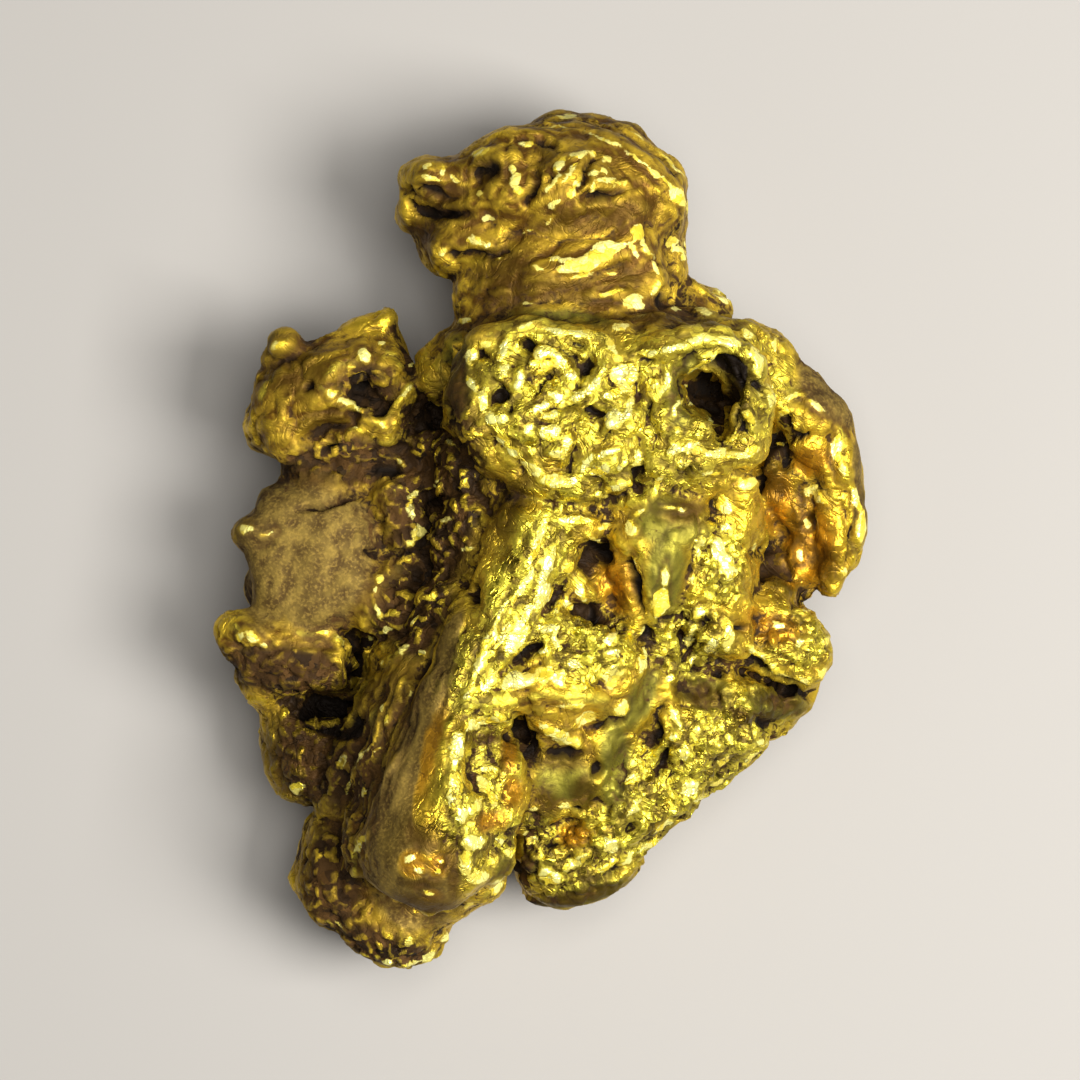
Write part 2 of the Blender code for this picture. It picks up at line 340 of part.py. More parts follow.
def pits(clay):
    """The deep holes and hollows, as the shapes that are cut out of the fused skin."""
    # the pitted pad, with a tail to its pit
    add_lump(clay, (5.8, 5.2, 10.9), (1.25, 1.2, 3.2), turn=20, squareness=2.8)
    add_lump(clay, (6.5, 3.9, 10.6), (0.5, 1.0, 2.4))
    add_lump(clay, (3.6, 5.0, 11.9), (0.35, 1.5, 0.8), turn=8)
    # the crinkled pad
    add_lump(clay, (-0.5, 6.4, 11.9), (0.45, 0.35, 0.9))
    add_lump(clay, (1.4, 6.2, 12.0), (0.8, 0.3, 0.9), turn=-30)
    add_lump(clay, (-1.2, 4.9, 11.8), (0.5, 0.4, 0.9))
    add_lump(clay, (1.9, 3.9, 11.8), (0.6, 0.35, 0.8), turn=40)
    # the middle: pits, the valley beside the tongue, the valley under the arch
    add_lump(clay, (1.5, -2.5, 10.2), (0.75, 0.6, 1.7), turn=-20, squareness=2.6)
    add_lump(clay, (2.1, -0.7, 10.4), (0.95, 0.9, 1.6), turn=-22, squareness=2.6)
    add_lump(clay, (2.8, -2.2, 10.2), (0.7, 1.4, 1.4), turn=5, squareness=2.6)
    add_lump(clay, (-0.6, -6.7, 10.2), (0.6, 0.95, 2.9), turn=-10, squareness=2.6)
    add_lump(clay, (0.9, -8.1, 10.3), (1.6, 1.4, 2.1), turn=-15, squareness=2.6)
    add_lump(clay, (2.0, -6.3, 9.4), (0.8, 0.3, 1.2), turn=15)
    add_lump(clay, (-1.8, -7.6, 11.1), (0.95, 1.8, 1.3), turn=-8, squareness=2.6)
    add_lump(clay, (-0.4, -4.0, 11.2), (0.7, 0.3, 0.9), turn=40)
    add_lump(clay, (5.3, -3.7, 8.6), (0.5, 1.0, 1.5), turn=15)
    add_lump(clay, (5.9, -5.4, 8.0), (1.2, 0.6, 1.0), turn=-10)
    add_lump(clay, (4.2, -7.3, 7.8), (0.5, 0.9, 1.8), turn=10)
    add_lump(clay, (1.1, -10.2, 7.4), (1.0, 0.5, 1.6), turn=10)
    add_lump(clay, (2.3, -11.4, 6.6), (0.6, 0.35, 1.2), turn=30)
    # inside the curled flange, and under the shelf
    add_lump(clay, (8.9, -0.2, 6.2), (0.8, 1.7, 1.6), turn=10)
    add_lump(clay, (7.8, 1.6, 7.2), (0.5, 1.2, 1.8), turn=10)
    add_lump(clay, (8.3, 3.7, 7.5), (0.7, 1.3, 2.0), turn=28, squareness=2.6)
    add_lump(clay, (8.3, -1.1, 6.8), (0.6, 0.8, 1.6), turn=-20)
    add_lump(clay, (8.25, -5.1, 6.2), (1.35, 0.5, 1.9), turn=-26, squareness=2.6)
    # the dark hollow at the lower left
    add_lump(clay, (-7.5, -6.1, 5.2), (1.35, 0.9, 2.4), turn=-8, squareness=2.8)
    add_lump(clay, (-6.3, -4.6, 6.0), (0.65, 0.9, 2.4), turn=20)
    add_lump(clay, (-6.6, -11.0, 6.5), (0.45, 1.3, 1.3), turn=-5)
    # the upper lobe, its lip, the crack above the plate, and the rough valley
    add_lump(clay, (-6.2, 5.3, 7.8), (0.85, 0.65, 1.5), turn=20)
    add_lump(clay, (-5.4, 4.6, 7.2), (0.3, 0.6, 1.2), turn=-30)
    add_lump(clay, (-7.4, 3.9, 7.0), (1.4, 0.45, 1.6), turn=14)
    add_lump(clay, (-6.9, 1.35, 6.9), (1.4, 0.3, 1.2), turn=12)
    add_lump(clay, (-3.6, 4.2, 6.6), (0.9, 0.6, 1.4), turn=-20)
    add_lump(clay, (-3.2, 1.2, 6.7), (0.6, 0.9, 1.3))
    add_lump(clay, (-5.2, -0.6, 6.9), (0.6, 0.4, 0.9), turn=20)
    # head: mouth, eye, the groove behind the brow, the slit and the groove inside the shell
    add_lump(clay, (-3.9, 11.95, 7.7), (1.1, 0.24, 1.2), turn=-8, squareness=2.6)
    add_lump(clay, (-3.5, 11.2, 7.3), (0.9, 0.2, 0.7), turn=-14)
    add_lump(clay, (-1.85, 12.6, 9.0), (0.6, 0.5, 1.0))
    add_lump(clay, (0.2, 13.3, 9.4), (0.5, 0.8, 1.2), turn=-20)
    add_lump(clay, (-0.35, 11.9, 9.1), (0.3, 0.6, 1.1), turn=-15)
    add_lump(clay, (2.3, 11.55, 9.6), (0.9, 0.35, 1.1), turn=12)
    add_lump(clay, (3.0, 13.0, 9.0), (1.5, 0.22, 1.0), turn=-40)
    add_lump(clay, (-2.3, 9.75, 8.1), (0.9, 0.22, 1.0), turn=-6)
    add_lump(clay, (2.2, 9.1, 9.3), (1.2, 0.3, 1.1), turn=14)


# --- from lumps to one solid -------------------------------------------------------------------


def mesh_of(clay):
    """One mesh that holds every shell of the clay, still separate."""
    starts = numpy.cumsum([0] + [len(corners) for corners, _ in clay])
    mesh = bpy.data.meshes.new("clay")
    mesh.from_pydata(
        numpy.concatenate([corners for corners, _ in clay]),
        [],
        numpy.concatenate([faces + start for (_, faces), start in zip(clay, starts)]),
    )
    return mesh


def object_of(name, *regions):
    """A mesh object that holds the lumps of these regions."""
    clay = []
    for region in regions:
        region(clay)
    made = bpy.data.objects.new(name, mesh_of(clay))
    bpy.context.scene.collection.objects.link(made)
    return made


def lay_on(made, region):
    """Lays a region of ribs on an object and leaves them as shells of the same mesh."""
    clay = []
    skin = bmesh.new()
    skin.from_mesh(made.data)
    region(clay, BVHTree.FromBMesh(skin))
    skin.from_mesh(mesh_of(clay))
    skin.to_mesh(made.data)
    skin.free()


def apply_modifiers(made):
    """Replaces an object's mesh by what its modifiers make of it."""
    graph = bpy.context.evaluated_depsgraph_get()
    mesh = bpy.data.meshes.new_from_object(made.evaluated_get(graph))
    made.modifiers.clear()
    made.data = mesh


def fuse(made, voxel, passes):
    """Fuses overlapping shells into one skin on a voxel grid, then relaxes the creases."""
    remesh = made.modifiers.new("fuse", "REMESH")
    remesh.mode = "VOXEL"
    remesh.voxel_size = voxel
    relax = made.modifiers.new("relax", "SMOOTH")
    relax.factor = 0.5
    relax.iterations = passes
    apply_modifiers(made)


def cut(made, cutter):
    """Takes the cutter's volume out of an object."""
    difference = made.modifiers.new("cut", "BOOLEAN")
    difference.operation = "DIFFERENCE"
    difference.solver = "EXACT"
    difference.object = cutter
    apply_modifiers(made)


def hammer(made, kind, size, depth):
    """Pushes the skin in and out by a procedural texture of this size, a little more out than in."""
    texture = bpy.data.textures.new(kind.lower(), kind)
    texture.noise_scale = size
    push = made.modifiers.new("hammer", "DISPLACE")
    push.texture = texture
    push.texture_coords = "LOCAL"
    push.strength = depth
    push.mid_level = HAMMER_LEVEL
    apply_modifiers(made)


def thin(made, triangles):
    """Thins the skin to a number of triangles, and thins the smoother underside most."""
    made.data.calc_loop_triangles()
    worn = made.vertex_groups.new(name="worn")
    for vertex in made.data.vertices:
        worn.add([vertex.index], 0.9 if vertex.normal.z < -0.5 else 0.25, "REPLACE")
    less = made.modifiers.new("thin", "DECIMATE")
    less.vertex_group = worn.name
    less.vertex_group_factor = UNDERSIDE_THINNING
    less.ratio = triangles / len(made.data.loop_triangles)
    less.use_collapse_triangulate = True
    apply_modifiers(made)


def set_down(made):
    """Scales the nugget to LENGTH, wears its lowest lumps flat and puts them on Z = 0."""
    low, high = extent(made)
    made.data.transform(Matrix.Scale(LENGTH / (high.y - low.y), 4))
    low, high = extent(made)
    middle_of_box = (low + high) / 2
    made.data.transform(Matrix.Translation((-middle_of_box.x, -middle_of_box.y, -low.z - RESTING_CUT)))
    bed = bpy.data.objects.new("bed", bpy.data.meshes.new("bed"))
    slab = bmesh.new()
    bmesh.ops.create_cube(slab, size=4 * LENGTH)
    bmesh.ops.translate(slab, vec=(0, 0, -2 * LENGTH), verts=slab.verts)
    slab.to_mesh(bed.data)
    slab.free()
    bpy.context.scene.collection.objects.link(bed)
    cut(made, bed)
    bpy.data.objects.remove(bed)


def extent(made):
    """Lowest and highest corner of an object's own mesh."""
    corners = [vertex.co for vertex in made.data.vertices]
    low = Vector(min(corner[axis] for corner in corners) for axis in range(3))
    high = Vector(max(corner[axis] for corner in corners) for axis in range(3))
    return low, high


def gold():
    """Native gold: a satin metal, a little redder than pure gold leaf."""
    material = bpy.data.materials.new("native_gold")
    material.use_nodes = True
    shader = material.node_tree.nodes["Principled BSDF"]
    shader.inputs["Base Color"].default_value = GOLD
    shader.inputs["Metallic"].default_value = 1.0
    shader.inputs["Roughness"].default_value = GOLD_ROUGHNESS
    material.diffuse_color = GOLD
    return material


def build():
    for old in list(bpy.data.objects):
        bpy.data.objects.remove(old)

    nugget = object_of(
        "nugget",
        core,
        shoulder,
        neck,
        head,
        right_side,
        lower_slope,
        middle,
        spine,
        lower_left,
        left_wing,
    )
    fuse(nugget, FUSING_VOXEL, passes=2)
    lay_on(nugget, ridges)
    fuse(nugget, FUSING_VOXEL, passes=1)

    holes = object_of("holes", pits)
    fuse(holes, FUSING_VOXEL, passes=2)
    cut(nugget, holes)
    bpy.data.objects.remove(holes)
    fuse(nugget, CARVED_VOXEL, passes=1)

    hammer(nugget, "CLOUDS", size=2.2 * MM, depth=0.5 * MM)
    hammer(nugget, "VORONOI", size=1.3 * MM, depth=0.45 * MM)
    thin(nugget, TRIANGLES)
    set_down(nugget)

    nugget.data.materials.clear()
    nugget.data.materials.append(gold())
    nugget.data.shade_smooth()


build()
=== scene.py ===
"""Looks for a natural gold nugget about 30 mm long, lying on its worn back.

X runs across the nugget, Y towards its small end (the "head") and Z up. Places and sizes below
are in millimetres, and MM turns them into Blender's metres.
"""

import itertools
import math

import bmesh
import bpy
import numpy as np
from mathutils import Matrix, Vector


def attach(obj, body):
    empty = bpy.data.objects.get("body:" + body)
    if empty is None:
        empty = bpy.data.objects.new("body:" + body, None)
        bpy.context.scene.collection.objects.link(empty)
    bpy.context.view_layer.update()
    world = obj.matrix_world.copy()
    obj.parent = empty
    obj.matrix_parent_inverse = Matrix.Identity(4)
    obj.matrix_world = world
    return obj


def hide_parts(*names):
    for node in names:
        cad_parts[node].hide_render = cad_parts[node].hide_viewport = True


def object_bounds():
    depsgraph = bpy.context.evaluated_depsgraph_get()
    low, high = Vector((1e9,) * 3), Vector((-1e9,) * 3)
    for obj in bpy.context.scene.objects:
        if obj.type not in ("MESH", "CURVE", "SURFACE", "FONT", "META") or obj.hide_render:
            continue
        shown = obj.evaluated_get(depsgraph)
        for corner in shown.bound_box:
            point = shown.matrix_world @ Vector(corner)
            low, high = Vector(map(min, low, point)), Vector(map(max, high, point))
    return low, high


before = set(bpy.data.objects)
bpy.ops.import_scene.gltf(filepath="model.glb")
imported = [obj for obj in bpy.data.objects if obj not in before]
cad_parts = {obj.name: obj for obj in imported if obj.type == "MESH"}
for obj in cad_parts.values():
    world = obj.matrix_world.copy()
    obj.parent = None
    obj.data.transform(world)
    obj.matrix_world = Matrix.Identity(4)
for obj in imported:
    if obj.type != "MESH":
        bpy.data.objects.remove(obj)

cad_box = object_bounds()

# --- the nugget: its skin ------------------------------------------------------------------
#
# One piece of native gold that grew in a vein and was then rolled by a river. Its skin starts
# as the worn form of the whole piece, evened out on a fine grid so that seams, cracks, pits and
# grains can be raised on it and pressed into it.

MM = 0.001
SAME_PLACE = 0.0001  # corners closer than this are one corner
SKIN_GRID = 0.115  # spacing of the skin's corners on the upper side
SKIN_PASSES = 5  # how often the skin is relaxed, to lose the facets of the worn form
KEPT_SHARE = 0.52  # share of all the skin's faces that is left once its unseen side is thinned
FIELD = 30  # half the side of the square field of columns that the nugget stands in
OVERHUNG = 1.5  # how far under the nugget's top a corner is out of sight from above


def read_corners(mesh, layer="vertices", field="co"):
    """The corners' places (or another vector of theirs) as an array with one row per corner."""
    rows = getattr(mesh, layer)
    flat = np.empty(len(rows) * 3)
    rows.foreach_get(field, flat)
    return flat.reshape(-1, 3)


def apply_modifiers(made):
    """Replaces an object's mesh by what its modifiers make of it."""
    graph = bpy.context.evaluated_depsgraph_get()
    mesh = bpy.data.meshes.new_from_object(made.evaluated_get(graph))
    made.modifiers.clear()
    made.data = mesh


def smooth_step(value, low, high):
    """0 below low, 1 above high, and 3t^2 - 2t^3 between them, where t runs from 0 to 1."""
    t = np.clip((value - low) / (high - low), 0.0, 1.0)
    return t * t * (3.0 - 2.0 * t)


def columns(places, cell):
    """Which of the field's square columns, each a cell wide, every place stands in."""
    return tuple(np.floor((places[:, :2] + FIELD) / cell).astype(np.int64).T)


def highest(places, cell):
    """The height of the highest place in each of the field's columns, and 0 in an empty one."""
    count = math.ceil(2 * FIELD / cell)
    top = np.zeros((count, count))
    np.maximum.at(top, columns(places, cell), places[:, 2])
    return top


def below_top(places, cell=0.35):
    """How far each place lies below the highest one in its own column."""
    return highest(places, cell)[columns(places, cell)] - places[:, 2]


merged = bmesh.new()
merged.from_mesh(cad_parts["nugget"].data)
bmesh.ops.remove_doubles(merged, verts=merged.verts, dist=SAME_PLACE * MM)
nugget = bpy.data.objects.new("gold_nugget", bpy.data.meshes.new("gold_nugget"))
merged.to_mesh(nugget.data)
merged.free()
bpy.context.scene.collection.objects.link(nugget)

remesh = nugget.modifiers.new("even out", "REMESH")
remesh.mode = "VOXEL"
remesh.voxel_size = SKIN_GRID * MM
relax = nugget.modifiers.new("lose the facets", "SMOOTH")
relax.factor = 0.5
relax.iterations = SKIN_PASSES
apply_modifiers(nugget)

facing = read_corners(nugget.data, "vertex_normals", "vector")[:, 2]
seen = (facing > 0) & (below_top(read_corners(nugget.data) / MM) < OVERHUNG)
unseen = nugget.vertex_groups.new(name="unseen")
unseen.add(np.flatnonzero(~seen).tolist(), 1.0, "REPLACE")
thin = nugget.modifiers.new("thin the unseen side", "DECIMATE")
thin.vertex_group = unseen.name
thin.ratio = KEPT_SHARE
apply_modifiers(nugget)
nugget.vertex_groups.clear()


# --- the nugget: its relief ----------------------------------------------------------------
#
# What the vein and the river left on the gold: folded seams and ledges, cracks between them,
# coiled crinkles where the metal froze against quartz, grains, and rough crusty hollows. Each
# kind is a height above the skin, in millimetres, worked out for all corners at once.


def mix_bits(cells, seed):
    """Numbers from 0 to 1 that look random but depend only on whole-number cells and the seed."""
    seed_bits = np.uint64(seed * 0x9E3779B97F4A7C15 & 0xFFFFFFFFFFFFFFFF)
    bits = seed_bits + cells[:, 0].astype(np.uint64) * np.uint64(0x8DA6B343)
    bits = bits ^ (cells[:, 1].astype(np.uint64) * np.uint64(0xD8163841D8163841))
    bits = bits ^ (cells[:, 2].astype(np.uint64) * np.uint64(0xCB1AB31FCB1AB31F))
    numbers = []
    for _ in range(3):
        bits = (bits ^ (bits >> np.uint64(31))) * np.uint64(0x7FB5D329728EA185)
        bits = (bits ^ (bits >> np.uint64(27))) * np.uint64(0x81DADEF4BC2DD44D)
        numbers.append((bits >> np.uint64(40)).astype(float) / 2.0**24)
    return np.stack(numbers, axis=1)


def waves(places, size, seed):
    """Gradient noise from about -1 to 1: random slopes at the corners of a grid of this size,
    blended by 6t^5 - 15t^4 + 10t^3 along each side of the cell a place is in."""
    grid = places / size
    cell = np.floor(grid)
    inside = grid - cell
    cell = cell.astype(np.int64)
    blend = inside**3 * (inside * (inside * 6 - 15) + 10)
    total = np.zeros(len(places))
    for corner in itertools.product((0, 1), repeat=3):
        step = np.array(corner)
        slope = mix_bits(cell + step, seed) * 2 - 1
        share = np.where(step == 1, blend, 1 - blend).prod(axis=1)
        total += share * (slope * (inside - step)).sum(axis=1)
    return total * 1.4


def rough(places, size, seed, octaves=3):
    """Waves of this size plus waves of half the size and half the height, and so on."""
    return sum(waves(places, size / 2**k, seed + k) / 2**k for k in range(octaves))


def warp(places, size, seed, reach):
    """Places moved by up to about reach, by three independent waves of this size."""
    push = [waves(places, size, seed + axis) for axis in range(3)]
    return places + reach * np.stack(push, axis=1)


def grains(places, size, seed):
    """Cell noise: for each place the distance to the nearest of the scattered points, one per
    cell, then to the second nearest, the way from the nearest, and the nearest one's numbers."""
    grid = places / size
    cell = np.floor(grid).astype(np.int64)
    first = np.full(len(places), np.inf)
    second = np.full(len(places), np.inf)
    way = np.zeros_like(places)
    name = np.zeros_like(places)
    for step in itertools.product((-1, 0, 1), repeat=3):
        near = cell + np.array(step)
        numbers = mix_bits(near, seed)
        gap = grid - near - numbers
        reach = np.sqrt((gap**2).sum(axis=1))
        closer = reach < first
        second = np.where(closer, first, np.minimum(second, reach))
        first = np.where(closer, reach, first)
        way[closer] = gap[closer]
        name[closer] = numbers[closer]
    return first, second, way, name


def chips(places, size, seed):
    """Broken metal: each grain is a flat chip tilted its own way, from about -0.5 to 0.5. Also
    gives how near a place is to the gap between two chips, from 0 to 1 in the gap itself."""
    first, second, way, name = grains(warp(places, size, seed + 7, size * 0.25), size, seed)
    return (way * (name * 2 - 1)).sum(axis=1), 1 - smooth_step(second - first, 0.0, 0.24)


def stretched(places, along, factor):
    """Places squeezed along one direction, so that a pattern on them is drawn out along it."""
    unit = np.array(along, dtype=float)
    unit /= np.linalg.norm(unit)
    return places - (places @ unit)[:, None] * unit * (1 - 1 / factor)


def outwards(places, x, y, length, width, turn=0):
    """How far out of an oval's middle each place lies: the hypotenuse of its ways along and
    across, each over the oval's own half length or half width, so 1 is on the oval itself."""
    c, s = math.cos(math.radians(turn)), math.sin(math.radians(turn))
    side, up = places[:, 0] - x, places[:, 1] - y
    return np.hypot((side * c + up * s) / length, (up * c - side * s) / width)


def patch(places, *ovals, soft=0.35):
    """1 inside the ovals, fading to 0 just outside."""
    inside = np.zeros(len(places))
    for oval in ovals:
        inside = np.maximum(inside, 1 - smooth_step(outwards(places, *oval), 1 - soft, 1 + soft))
    return inside


def beyond(places, ovals):
    """How far each place lies outside the nearest of the ovals, in millimetres and less than 0
    inside: how far out it is, less 1, times the oval's lesser half width."""
    gap = np.full(len(places), 1.0)
    for oval in ovals:
        x, y, length, width = oval[:4]
        reach = max(length, width) + 1.0
        near = np.flatnonzero((abs(places[:, 0] - x) < reach) & (abs(places[:, 1] - y) < reach))
        gap[near] = np.minimum(gap[near], (outwards(places[near], *oval) - 1) * min(length, width))
    return gap


def stroke(places, width, points):
    """A seam's cross-section, 1 on the line through the points and 0 at width from it, as
    (1 - d^2)^2 with d the distance over the width."""
    nearest = np.full(len(places), width)
    for start, end in zip(points, points[1:]):
        start, end = np.array(start, dtype=float), np.array(end, dtype=float)
        low, high = np.minimum(start, end) - width, np.maximum(start, end) + width
        near = np.flatnonzero(((places[:, :2] > low) & (places[:, :2] < high)).all(axis=1))
        run = end - start
        gap = places[near, :2] - start
        along = np.clip((gap @ run) / (run @ run), 0, 1)
        reach = np.hypot(*(gap - along[:, None] * run).T)
        nearest[near] = np.minimum(nearest[near], reach)
    return (1 - (nearest / width) ** 2) ** 2


def strongest(places, strokes):
    """The height at each place of the strokes (half the width, height, points) that cross there,
    which is the greatest of the height of each times its cross-section."""
    height = np.zeros(len(places))
    for width, most, points in strokes:
        height = np.maximum(height, most * stroke(places, width, points))
    return height


def spread(mesh, values, times):
    """Values averaged with their neighbours along the edges, again and again."""
    ends = np.empty(len(mesh.edges) * 2, dtype=np.int64)
    mesh.edges.foreach_get("vertices", ends)
    ends = ends.reshape(-1, 2)
    count = np.bincount(ends.ravel(), minlength=len(values)) + 1.0
    for _ in range(times):
        total = values.copy()
        for here, there in (ends.T, ends.T[::-1]):
            total += np.bincount(here, weights=values[there], minlength=len(values))
        values = total / count
    return values


def relaxed(mesh, places, times):
    """Places averaged with their neighbours, again and again."""
    return np.stack([spread(mesh, places[:, axis], times) for axis in range(3)], axis=1)


# Each seam is (half its width, how proud it stands, the points it runs through), and each
# crack (half its width, how deep it is, its points).

